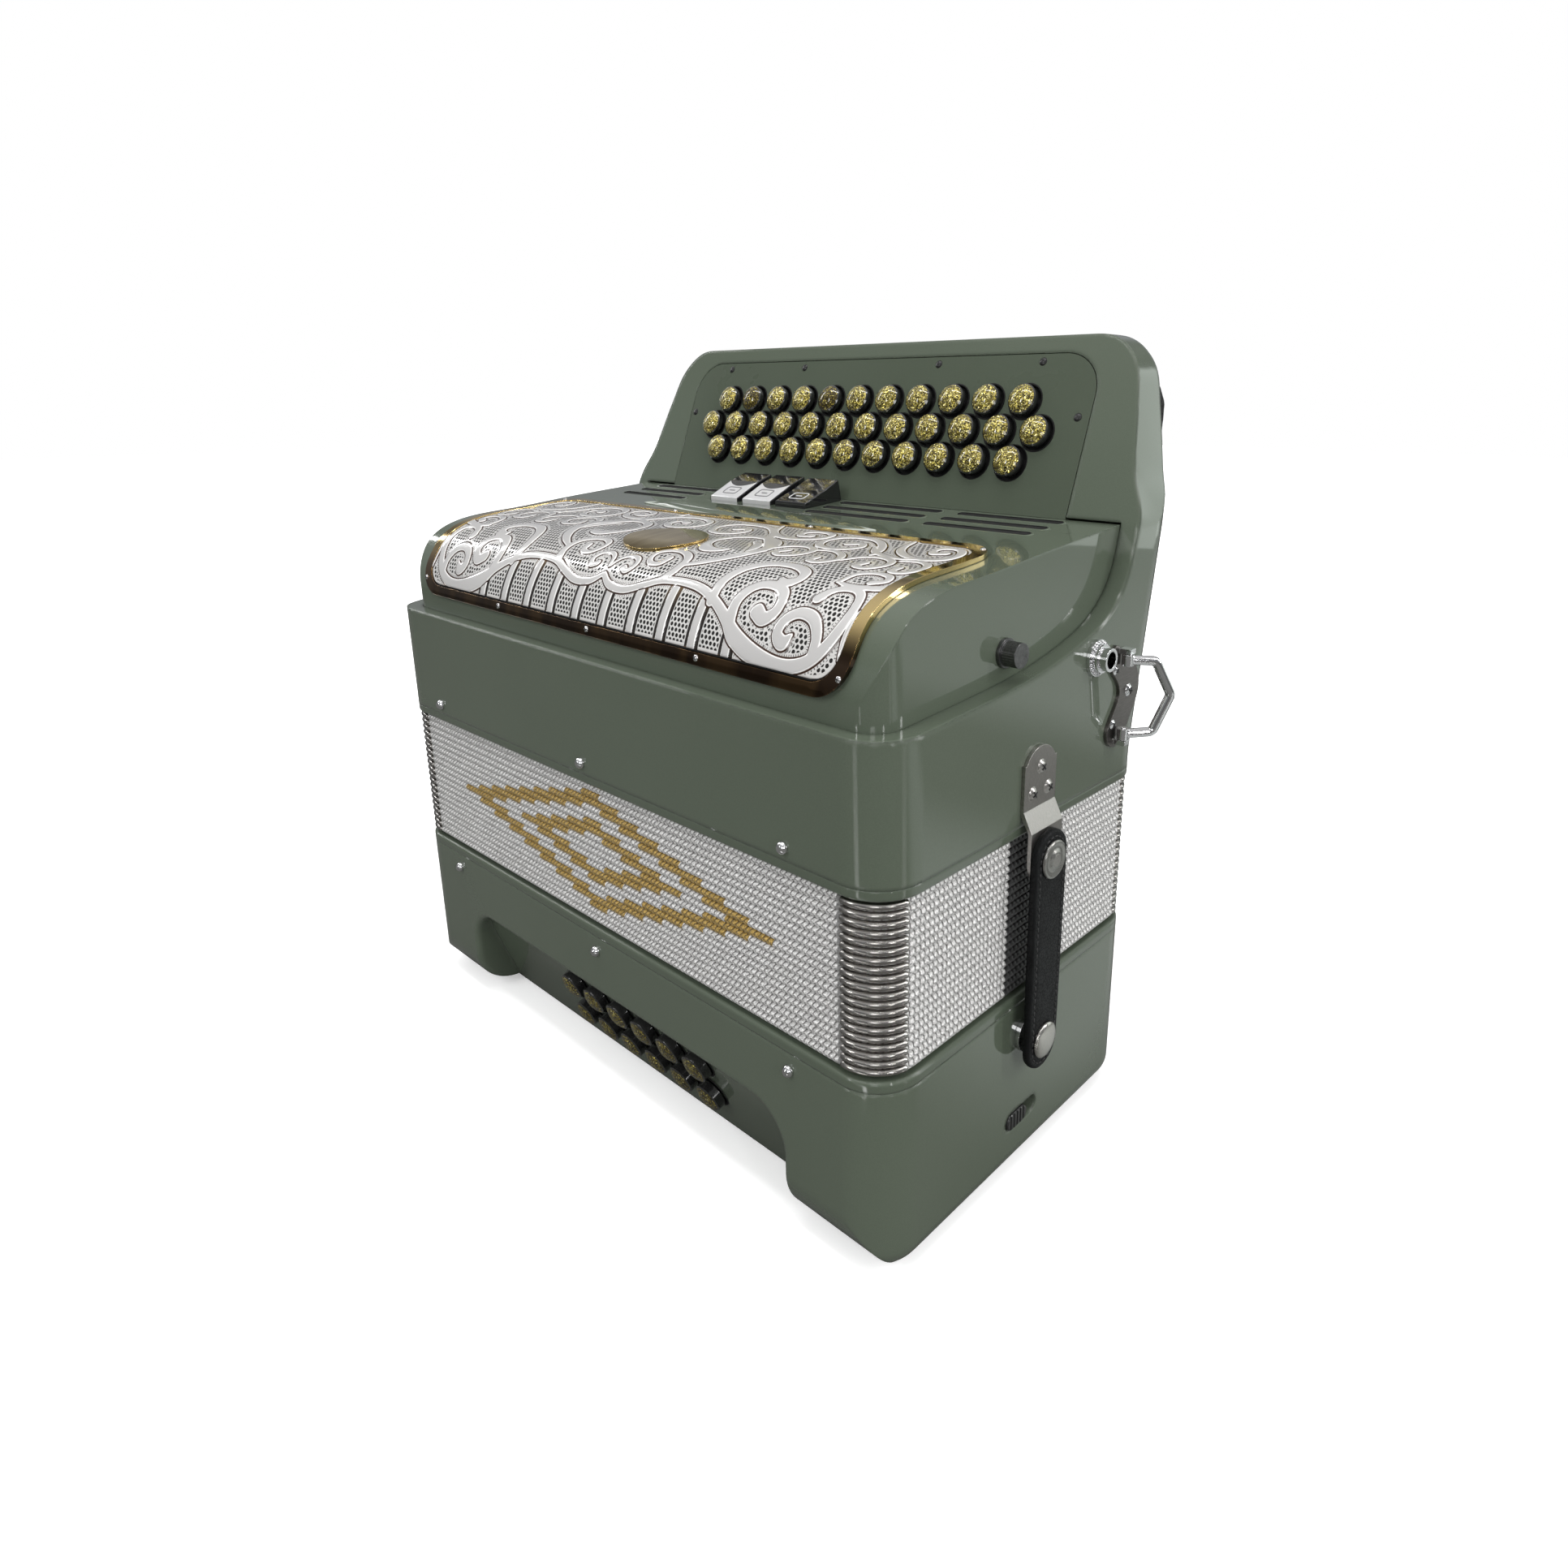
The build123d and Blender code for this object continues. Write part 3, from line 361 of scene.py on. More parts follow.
def glitter(name, origin, normal, low, high, dark=0.0):
    """Black buttons whose caps carry gold flakes.

    The flakes start between the heights low and high above the given plane.
    dark moves the ramp so that more flakes are dim.
    """
    mat = Shader(name)
    _, y, z = mat.separate()
    rise = mat.add(mat.mul(mat.sub(y, origin[0] / 1000), normal[0]),
                   mat.mul(mat.sub(z, origin[1] / 1000), normal[1]))
    cap = mat.step(rise, low, high)

    flakes = mat.voronoi(2300.0, "F1", "Color")
    split = mat.new("SeparateColor")
    mat.put(split.inputs[0], flakes)
    colour = mat.ramp(split.outputs[0], (
        (0.0, (0.030, 0.022, 0.006)),
        (1.0, (0.95, 0.86, 0.42)),
        (0.28 + dark, (0.075, 0.055, 0.008)),
        (0.5 + dark, (0.30, 0.235, 0.035)),
        (min(0.78 + 0.5 * dark, 0.97), (0.62, 0.52, 0.11))))
    # each flake leans its own way, by up to half of tilt on each axis
    tilt = 0.95
    surface_normal = mat.new("NewGeometry").outputs["Normal"]
    lean = mat.vector_math("MULTIPLY_ADD", flakes, (tilt,) * 3, (-tilt / 2,) * 3)
    leaning = mat.vector_math("NORMALIZE", mat.vector_math("ADD", surface_normal, lean))

    body = mat.new("BsdfPrincipled")
    for key, value in (("Base Color", grey(0.012)), ("Roughness", 0.22), ("Coat Weight", 1.0),
                       ("Coat Roughness", 0.05),
                       ("Normal", mat.bump(mat.noise(900.0), distance=0.00002, strength=0.3))):
        mat.put(body.inputs[key], value)
    mat.set(Base_Color=colour, Metallic=0.85, Roughness=0.28, Coat_Weight=1.0,
            Coat_Roughness=0.03, Coat_IOR=1.55, Normal=leaning, Coat_Normal=surface_normal)
    mat.put(mat.output, mat.mix_shader(cap, body.outputs[0], mat.surface.outputs[0]))
    return mat.material


KEY = glitter("key_glitter", BOARD_ORIGIN, BOARD_NORMAL, low=0.00375, high=0.00395)
KEY_DARK = glitter("key_glitter_dark", BOARD_ORIGIN, BOARD_NORMAL, low=0.00375, high=0.00395,
                   dark=0.42)
BASS_KEY = glitter("bass_glitter", BASS_ORIGIN, BASS_NORMAL, low=0.0044, high=0.0048, dark=0.22)


def leather(name, colour, scale, rough, grain_depth):
    mat = Shader(name)
    grain = mat.step(mat.voronoi(scale, "DISTANCE_TO_EDGE", "Distance"), 0.0, 0.16)
    waves = mat.noise(160.0, detail=4.0)
    wavy = mat.bump(waves, distance=0.0003, strength=0.25)
    return mat.set(Base_Color=mat.mottle(waves, colour, shade(colour, 2.2)),
                   Roughness=mat.map_range(grain, 0, 1, rough * 1.25, rough * 0.85),
                   Normal=mat.bump(grain, grain_depth, strength=0.5, normal=wavy),
                   Coat_Weight=0.03, Coat_Roughness=0.3, Specular_IOR_Level=0.14)


LEATHER = leather("leather", (0.0035, 0.0038, 0.004), scale=700.0, rough=0.55,
                  grain_depth=0.00012)
PAD_LEATHER = leather("pad_leather", grey(0.006), scale=420.0, rough=0.62, grain_depth=0.0002)


def plastic(name, colour, rough=0.28, coat=0.6):
    mat = Shader(name)
    grain = mat.noise(700.0)
    return mat.set(Base_Color=mat.mottle(grain, colour, shade(colour, 1.25)),
                   Roughness=mat.spread(mat.noise(80.0), rough * 0.8, rough * 1.25),
                   Coat_Weight=coat, Coat_Roughness=0.08,
                   Normal=mat.bump(grain, distance=0.00001, strength=0.5,
                                   normal=mat.bevel(0.0005)))


BLACK = plastic("black_plastic", grey(0.012))
RUBBER = plastic("rubber_black", grey(0.014), rough=0.7, coat=0.0)
# black felt, also used as painted shade in holes, vents and gaps
FELT_AND_SHADE = plastic("black_felt_and_painted_shade", grey(0.004), rough=0.8, coat=0.0)
STITCH = plastic("stitch_thread", grey(0.022), rough=0.7, coat=0.0)
# dark colour for the screw recesses: painted shade
RECESS_SHADE = plastic("recess_painted_shade", grey(0.03), rough=0.5, coat=0.0)
MARK_WHITE = plastic("mark_white", grey(0.62), rough=0.4, coat=0.2)
MARK_GREY = plastic("mark_grey", (0.16, 0.16, 0.165), rough=0.4, coat=0.2)


def spruce():
    mat = Shader("spruce")
    grain = mat.noise(60.0, detail=5.0, rough=0.6, stretch=(1, 12, 12), distortion=1.2)
    return mat.set(Base_Color=mat.mottle(grain, (0.42, 0.27, 0.13), (0.62, 0.45, 0.25)),
                   Roughness=0.6, Normal=mat.bump(grain, distance=0.0002, strength=0.4))


WOOD = spruce()


# ------------------------------------------------------------------ mesh helpers
def add_mesh(name, verts, faces, materials, smooth=True, slots=None, attributes=None):
    """Mesh object from vertices in millimetres."""
    mesh = bpy.data.meshes.new(name)
    mesh.from_pydata([tuple(p) for p in np.asarray(verts, float) / 1000.0], [],
                     [tuple(int(i) for i in face) for face in faces])
    for key, values in (attributes or {}).items():
        layer = mesh.attributes.new(key, "FLOAT", "POINT")
        layer.data.foreach_set("value", np.asarray(values, np.float32))
    mesh.update()
    for material in materials:
        mesh.materials.append(material)
    if slots is not None:
        mesh.polygons.foreach_set("material_index", np.asarray(slots, np.int32))
    mesh.polygons.foreach_set("use_smooth", np.full(len(mesh.polygons), smooth))
    obj = bpy.data.objects.new(name, mesh)
    scene.collection.objects.link(obj)
    return obj


class Parts:
    """Collects several shapes into one mesh."""

    def __init__(self):
        self.verts, self.faces, self.slots, self.attributes = [], [], [], {}
        self.count = 0

    def add(self, verts, faces, slot=0, **attributes):
        verts = np.asarray(verts, float)
        self.verts.append(verts)
        self.faces += [tuple(i + self.count for i in face) for face in faces]
        self.slots += [slot] * len(faces)
        for key, values in attributes.items():
            values = np.broadcast_to(np.asarray(values, float), (len(verts),))
            self.attributes.setdefault(key, []).append(values)
        self.count += len(verts)

    def values(self, key):
        return np.concatenate(self.attributes[key])

    def build(self, name, materials, smooth=True):
        attributes = {key: self.values(key) for key in self.attributes}
        return add_mesh(name, np.vstack(self.verts), self.faces, materials, smooth,
                        self.slots, attributes)


def unit(vectors):
    return vectors / np.linalg.norm(vectors, axis=-1, keepdims=True)


def loop_tangents(points):
    """Unit tangents of a closed loop of points."""
    return unit(np.roll(points, -1, 0) - np.roll(points, 1, 0))


def flipped(faces):
    """Quads turned over, each keeping its first vertex."""
    return [(a, d, c, b) for a, b, c, d in faces]


def ring_faces(rows, per_row, closed=False):
    """Quads joining rows of closed rings; closed joins the last row to the first."""
    faces = []
    for i in range(rows if closed else rows - 1):
        here, there = i * per_row, (i + 1) % rows * per_row
        for k in range(per_row):
            after = (k + 1) % per_row
            faces.append((here + k, here + after, there + after, there + k))
    return faces


def end_faces(rows, per_row):
    """Polygons closing the first and last ring."""
    last = (rows - 1) * per_row
    return [tuple(range(per_row - 1, -1, -1)), tuple(range(last, last + per_row))]


def grid_faces(rows, columns):
    corners = [j * columns + i for j in range(rows - 1) for i in range(columns - 1)]
    return [(a, a + 1, a + columns + 1, a + columns) for a in corners]


def axes_about(axis):
    """Three perpendicular unit axes, the last along axis."""
    axis = unit(np.array(axis, float))
    up = np.array((0.0, 0.0, 1.0))
    if abs(axis @ up) > 0.95:
        up = np.array((0.0, 1.0, 0.0))
    side = unit(np.cross(up, axis))
    return side, np.cross(axis, side), axis


def lathe(base, axis, profile, segments):
    """Solid of revolution; profile is (radius, height above base along axis)."""
    x, y, axis = axes_about(axis)
    base = np.array(base, float)
    verts, faces, rows = [], [], []
    for radius, height in profile:
        if radius < 1e-6:
            rows.append([len(verts)])
            verts.append(base + axis * height)
            continue
        rows.append(list(range(len(verts), len(verts) + segments)))
        for k in range(segments):
            turn = 2 * math.pi * k / segments
            verts.append(base + axis * height + x * (radius * math.cos(turn))
                         + y * (radius * math.sin(turn)))
    for low, high in zip(rows, rows[1:]):
        if len(low) == 1 and len(high) == 1:
            continue
        for k in range(segments):
            after = (k + 1) % segments
            if len(low) == 1:
                faces.append((low[0], high[after], high[k]))
            elif len(high) == 1:
                faces.append((low[k], low[after], high[0]))
            else:
                faces.append((low[k], low[after], high[after], high[k]))
    return np.array(verts), faces


def dome(radius, rise, steps=5):
    """Lathe profile of a shallow dome on a 0.15 mm rim."""
    sphere = (radius * radius + rise * rise) / (2 * rise)
    reach = math.asin(radius / sphere)
    profile = [(0, 0), (radius, 0)]
    for k in range(steps + 1):
        angle = reach * (1 - k / steps)
        drop = sphere - sphere * math.cos(angle)
        profile.append((sphere * math.sin(angle), 0.15 + rise - drop))
    return profile


def sweep(path, profile, closed=False, up=(0, 0, 1)):
    """Profile points (outward, up) swept along a path with a fixed up vector."""
    path = np.array(path, float)
    if closed:
        tangent = loop_tangents(path)
    else:
        tangent = np.zeros_like(path)
        tangent[1:-1] = path[2:] - path[:-2]
        tangent[0], tangent[-1] = path[1] - path[0], path[-1] - path[-2]
        tangent = unit(tangent)
    outward = unit(np.cross(tangent, np.array(up, float)))
    upward = np.cross(outward, tangent)
    across, rise = np.array(profile).T[:, None, :, None]
    verts = path[:, None] + outward[:, None] * across + upward[:, None] * rise
    rows, per_row = len(path), len(profile)
    faces = ring_faces(rows, per_row, closed)
    if not closed:
        faces += end_faces(rows, per_row)
    return verts.reshape(-1, 3), faces


def rectangle(half_width, half_height):
    """Sweep profile."""
    return [(-half_width, -half_height), (half_width, -half_height),
            (half_width, half_height), (-half_width, half_height)]


def box(centre, size, axes=np.eye(3)):
    x, y, z = (np.array(axis, float) * length / 2 for axis, length in zip(axes, size))
    verts = [np.array(centre, float) + x * a + y * b + z * c
             for c in (-1, 1) for b in (-1, 1) for a in (-1, 1)]
    faces = [(0, 2, 3, 1), (4, 5, 7, 6), (0, 1, 5, 4), (2, 6, 7, 3), (0, 4, 6, 2), (1, 3, 7, 5)]
    return np.array(verts), faces


def smooth_curve(points, steps):
    """Catmull-Rom curve through the points, with this many steps per span."""
    points = np.array(points, float)
    padded = np.vstack([2 * points[0] - points[1], points, 2 * points[-1] - points[-2]])
    curve = []
    for p0, p1, p2, p3 in zip(padded, padded[1:], padded[2:], padded[3:]):
        for k in range(steps):
            t = k / steps
            curve.append(0.5 * ((2 * p1) + (-p0 + p2) * t + (2 * p0 - 5 * p1 + 4 * p2 - p3) * t * t
                                + (-p0 + 3 * p1 - 3 * p2 + p3) * t ** 3))
    curve.append(points[-1])
    return np.array(curve)


def corner_arcs(half_x, half_y, radius, steps):
    """The four corner arcs of a rounded rectangle, counter-clockwise from (+x, -y)."""
    arcs = []
    for sx, sy, start in ((1, -1, -90), (1, 1, 0), (-1, 1, 90), (-1, -1, 180)):
        angles = [math.radians(start + 90 * k / steps) for k in range(steps + 1)]
        arcs.append([(sx * (half_x - radius) + radius * math.cos(angle),
                      sy * (half_y - radius) + radius * math.sin(angle)) for angle in angles])
    return arcs


# ------------------------------------------------------------------ treble cover surface
# (y, z) up the front of the cover and back over its top
COVER_PROFILE = np.array([
    (-75.0, 195.0), (-74.7, 203.0), (-72.6, 211.5), (-69.0, 219.0), (-63.4, 226.3),
    (-56.0, 231.0), (-47.5, 233.8), (-36.0, 235.6), (-20.0, 236.9), (11.0, 240.2),
    (42.0, 243.0), (64.4, 245.0)])


def natural_spline(knots, values, at):
    """Natural cubic spline through values at knots, evaluated at the given places."""
    count = len(knots)
    gaps = np.diff(knots)
    system = np.zeros((count, count))
    right = np.zeros((count, values.shape[1]))
    system[0, 0] = system[-1, -1] = 1
    for i in range(1, count - 1):
        system[i, i - 1:i + 2] = gaps[i - 1], 2 * (gaps[i - 1] + gaps[i]), gaps[i]
        right[i] = 6 * ((values[i + 1] - values[i]) / gaps[i]
                        - (values[i] - values[i - 1]) / gaps[i - 1])
    bend = np.linalg.solve(system, right)
    k = np.clip(np.searchsorted(knots, at) - 1, 0, count - 2)
    before, after, gap = (knots[k + 1] - at)[:, None], (at - knots[k])[:, None], gaps[k][:, None]
    return ((bend[k] * before ** 3 + bend[k + 1] * after ** 3) / (6 * gap)
            + (values[k] / gap - bend[k] * gap / 6) * before
            + (values[k + 1] / gap - bend[k + 1] * gap / 6) * after)


def lengths_along(points):
    return np.r_[0, np.cumsum(np.hypot(*np.diff(points, axis=0).T))]


knot_lengths = lengths_along(COVER_PROFILE)
cover_yz = natural_spline(knot_lengths, COVER_PROFILE, np.linspace(0, knot_lengths[-1], 3000))
cover_length = lengths_along(cover_yz)
cover_tangent = unit(np.gradient(cover_yz, axis=0))
cover_normals = np.stack([-cover_tangent[:, 1], cover_tangent[:, 0]], -1)


def on_cover(x, length, height):
    """Point on the cover at x, length up the profile from its foot, height above it."""
    x, length, height = np.broadcast_arrays(np.asarray(x, float), length, height)
    y, z = (np.interp(length, cover_length, cover_yz[:, k])
            + height * np.interp(length, cover_length, cover_normals[:, k]) for k in (0, 1))
    return np.stack([x, y, z], -1)


def cover_normal(length):
    return (0.0, *(float(np.interp(length, cover_length, cover_normals[:, k])) for k in (0, 1)))


def length_at_y(y):
    """Profile length at y, for the top of the cover."""
    top = cover_yz[:, 0] > -60
    return np.interp(y, cover_yz[top, 0], cover_length[top])


def length_at_z(z):
    """Profile length at z, for the front of the cover."""
    front = cover_yz[:, 1] < 225
    return float(np.interp(z, cover_yz[front, 1], cover_length[front]))


# ------------------------------------------------------------------ grille scrollwork
# Right half of the pattern, mirrored in x: one stroke per entry,
# each point (x, distance down from SCROLL_TOP, stroke width)
SCROLL_TOP = 107.98
SCROLLS = (
    ((0, 75.8, 2.2), (6.7, 79.7, 3), (16.7, 80.3, 3), (26.7, 77.1, 3), (35.3, 74, 3),
     (46.7, 73.1, 3.1), (58, 74.3, 3.2), (68, 77.9, 3.6), (76.7, 82.9, 4.5), (84, 88.3, 6.5),
     (94, 92.2, 6.6), (105, 93.6, 5), (113.9, 92.6, 4.6), (121, 88.8, 4.4), (126, 82, 4.2),
     (128.3, 72.9, 3.6), (126.6, 66, 3.2), (121.6, 63.2, 3), (115, 64.8, 3.2),
     (111.7, 69.6, 4.4)),
    ((0.3, 72, 1.2), (2.5, 67.5, 1.8), (7, 65.3, 2), (12, 66.5, 2.2), (13.8, 70, 2.3),
     (11.5, 73, 2.4), (8.6, 71.8, 2.8)),
    ((35, 73.5, 4), (37.3, 68, 3.8), (36, 61.5, 3.4), (30, 57.5, 3), (23, 56.8, 2.8),
     (17.5, 59.5, 2.6), (17, 64, 2.4), (20.5, 67.3, 2.4), (25.5, 66.6, 2.8), (26.8, 63, 3.4)),
    ((39, 65, 2), (47, 60.5, 3.6), (54, 53.5, 5), (57.3, 45, 5.4), (55.3, 36, 5.2),
     (48.5, 29.5, 4.8), (38.5, 27.3, 4.4), (30, 30.8, 4), (26, 38.2, 3.6), (28, 45.6, 4.2),
     (34, 50.6, 5.6), (40.5, 50.6, 4), (44.5, 48.6, 0.8)),
    ((43, 35, 0.6), (48.5, 37.8, 3.6), (52, 43, 3.6), (53.4, 48, 1)),
    ((46, 31, 2), (42, 24.5, 3), (37, 19, 3.2), (30, 13.5, 3.2), (22, 11.5, 3.2),
     (13, 12, 3.2), (6.5, 15.5, 3), (5, 21.5, 3), (9, 27.3, 3.2), (16, 29, 3.4),
     (21.8, 26.5, 3.4), (23.8, 21.8, 3.3), (20.6, 18.4, 3.4), (16.6, 20.2, 4.2)),
    ((31, 8, 2), (34.5, 15.5, 3), (40, 20.6, 3.4), (48, 23.5, 3.5), (57, 22.5, 3.4),
     (63.3, 18, 3.2), (63.5, 12.5, 3), (58.5, 10, 3), (52.3, 11, 3), (49.3, 14.5, 3),
     (51.8, 18, 3.2), (56, 17, 4)),
    ((36, 18, 1.6), (42, 26.5, 3), (49, 33, 3.4), (56, 40, 3), (60, 44.5, 1.2)),
    ((57, 42, 2.4), (62, 33.8, 3.2), (70, 31.5, 3.2), (76, 36, 3.2), (75.5, 43, 3),
     (69.4, 46.3, 3), (64.6, 43.4, 3), (66.6, 39.6, 3.8)),
    ((76, 34, 2), (84, 32.6, 3), (91, 36.5, 3), (94, 42.5, 3), (91, 47.6, 3),
     (85.8, 47.4, 3), (85, 43.4, 3.8)),
    ((100, 31, 2), (98, 24, 3), (93, 17, 3.3), (86, 12, 3.4), (77.5, 11, 3.4), (70, 14, 3.4),
     (67.5, 20.5, 3.4), (70.5, 27, 3.4), (77.5, 29.7, 3.4), (84.6, 28, 3.3), (87.6, 23, 3.2),
     (84.6, 18.8, 3.3), (80.2, 20.8, 4.4)),
    ((101, 8, 2), (102.5, 16, 3), (106.5, 22.5, 3.4), (114, 27.3, 3.6), (123, 28, 3.4),
     (128, 24, 3.4), (128.4, 17, 3.4), (124.6, 11.5, 3.2), (118.8, 11.5, 3), (116.2, 15.5, 3),
     (118.8, 19.4, 3.4), (122.2, 17.6, 4.2)),
    ((92, 20, 1.2), (98, 26.6, 3), (106, 30, 3.2), (114, 31, 2.4), (119, 29.6, 1)),
    ((96, 42, 2), (100, 34.8, 3), (107, 32.8, 3), (113.6, 35.8, 3), (115.4, 42, 3),
     (111.6, 47, 3), (106.4, 46, 3.2), (106.4, 41.8, 4)),
    ((116, 33.6, 2), (123, 31.6, 3), (128.4, 35, 3), (129.8, 41, 3), (127.4, 46.4, 3),
     (122.6, 46.4, 3), (121.6, 42, 3.8)),
    ((112.5, 59.5, 2), (113.6, 53.4, 2.8), (119.4, 50.2, 2.8), (126, 51.4, 2.8),
     (128, 55.4, 2.8), (124, 57.6, 3.4)),
    ((111.5, 60.4, 1), (119, 61.8, 3), (127, 61, 3.2), (132, 59.6, 4)),
    ((66, 78, 4), (65.2, 69, 4.5), (69, 60.4, 4.5), (77, 55, 4.2), (87, 54.6, 4),
     (94.6, 58, 4), (96, 63, 4.2), (92, 65.8, 5), (88.6, 63.6, 1.4)),
    ((80, 86, 4), (78.2, 76, 4.5), (82.6, 69, 4.2), (90, 67.6, 4), (96.4, 70.6, 4),
     (98, 76.5, 4.4), (94, 80.4, 5), (89.6, 78.4, 5.6)),
    ((119.5, 90, 3), (119.6, 83, 4), (115.6, 77.4, 4.2), (109, 76, 4), (103.8, 79, 4),
     (102.4, 84, 4.2), (106, 86.6, 5), (108.8, 83.6, 1.2)),
    ((131, 88, 1), (130.4, 80, 1.6), (131.2, 72, 1)),
)
# Straight bars below the scrolls: (x, upper end), all ending at BAR_END
BARS = ((9, 82.4), (27, 79.6), (45, 76.2), (63, 78.6), (81, 89))
BAR_END, BAR_WIDTH = 97, 3.9

# Scrollwork sheet: half width, lower and upper profile lengths, corner radius
SHEET_X, SHEET_LOW, SHEET_HIGH, SHEET_R = 131.2, 12.9, 100.6, 10.0


def nearest_stroke(paths, x_grid, y_grid):
    """Signed distance to the nearest stroke edge (negative inside) and length along it."""
    reach = 9       # strokes farther away than this are skipped
    x, y = x_grid.ravel(), y_grid.ravel()
    best, best_along = np.full(x.shape, 1e9), np.zeros_like(x)
    for path in paths:
        low, high = path[:, :2].min(0) - reach, path[:, :2].max(0) + reach
        near = np.nonzero((x > low[0]) & (x < high[0]) & (y > low[1]) & (y < high[1]))[0]
        px, py = x[near], y[near]
        closest, along, run = np.full(len(near), 1e9), np.zeros(len(near)), 0.0
        for start, end in zip(path, path[1:]):
            span = end[:2] - start[:2]
            squared = span @ span
            length = math.sqrt(squared)
            t = np.clip(((px - start[0]) * span[0] + (py - start[1]) * span[1]) / squared, 0, 1)
            distance = (np.hypot(px - start[0] - t * span[0], py - start[1] - t * span[1])
                        - (start[2] + (end[2] - start[2]) * t) / 2)
            better = distance < closest
            closest[better] = distance[better]
            along[better] = run + t[better] * length
            run += length
        better = closest < best[near]
        best[near[better]] = closest[better]
        best_along[near[better]] = along[better]
    return best.reshape(x_grid.shape), best_along.reshape(x_grid.shape)


def grille_white():
    """White sheet with pierced holes and outlined scrolls, drawn from vertex attributes in mm."""
    mat = Shader("grille_white")
    scroll, bar, edge, u, v, along = (
        mat.attribute(key) for key in ("sd", "bars", "edge", "u", "v", "arc"))

    # staggered round holes in the open field
    pitch = 2.05
    double_row = 2 * (pitch * math.sqrt(3) / 2)

    def lattice(offset):
        shift = offset + 200        # keeps the fraction's argument positive
        across = mat.centred_fraction(mat.add(mat.div(u, pitch), shift))
        upward = mat.centred_fraction(mat.add(mat.div(v, double_row), shift))
        return mat.hypot(mat.mul(across, pitch), mat.mul(upward, double_row))

    hole = mat.invert(mat.step(mat.smaller(lattice(0.0), lattice(0.5)), 0.66, 0.78))
    field = mat.mul(mat.step(scroll, 1.7, 1.85), mat.step(bar, 2.1, 2.2),
                    mat.step(edge, 1.0, 1.3))
    hole = mat.mul(hole, field)

    # row of tiny holes that follows each scroll
    bead_pitch, bead_offset, bead_squash = 1.15, 1.05, 0.55
    phase = mat.absolute(mat.centred_fraction(mat.div(along, bead_pitch)))
    offset = mat.mul(mat.absolute(mat.sub(scroll, bead_offset)), bead_squash)
    radius = mat.hypot(mat.mul(phase, bead_pitch), offset)
    bead = mat.mul(mat.invert(mat.step(radius, 0.16, 0.28)), mat.step(bar, 2.0, 2.2),
                   mat.step(edge, 0.6, 0.9))

    # dark outlines round the scrolls and the bars
    line = mat.mul(mat.step(scroll, 0.0, 0.1), mat.invert(mat.step(scroll, 0.58, 0.72)))
    bar_line = mat.mul(mat.step(bar, 0.02, 0.15), mat.invert(mat.step(bar, 1.65, 1.8)),
                       mat.step(scroll, 0.3, 0.5))

    white = mat.mottle(mat.noise(45.0), (0.53, 0.52, 0.505), (0.59, 0.58, 0.565))
    stroke = mat.smaller(scroll, bar)
    colour = mat.mix(mat.step(stroke, -0.42, -0.32), (0.46, 0.452, 0.445), (0.74, 0.73, 0.72))
    colour = mat.mix(mat.step(stroke, -0.02, 0.02), colour, white)
    bar_gap = mat.mix(mat.step(v, 24.0, 40.0), (0.012, 0.008, 0.005), (0.13, 0.075, 0.025))
    colour = mat.mix(line, colour, (0.040, 0.016, 0.008))
    colour = mat.mix(bar_line, colour, bar_gap)
    colour = mat.mix(mat.larger(hole, mat.mul(bead, 0.8)), colour, (0.010, 0.009, 0.008))
    depth = mat.larger(hole, mat.mul(mat.larger(line, bar_line), 0.6))
    return mat.set(Base_Color=colour, Roughness=mat.map_range(hole, 0, 1, 0.2, 0.85),
                   Coat_Weight=mat.map_range(hole, 0, 1, 0.8, 0.0), Coat_Roughness=0.06,
                   Normal=mat.bump(mat.invert(depth), distance=0.0004, strength=0.8))


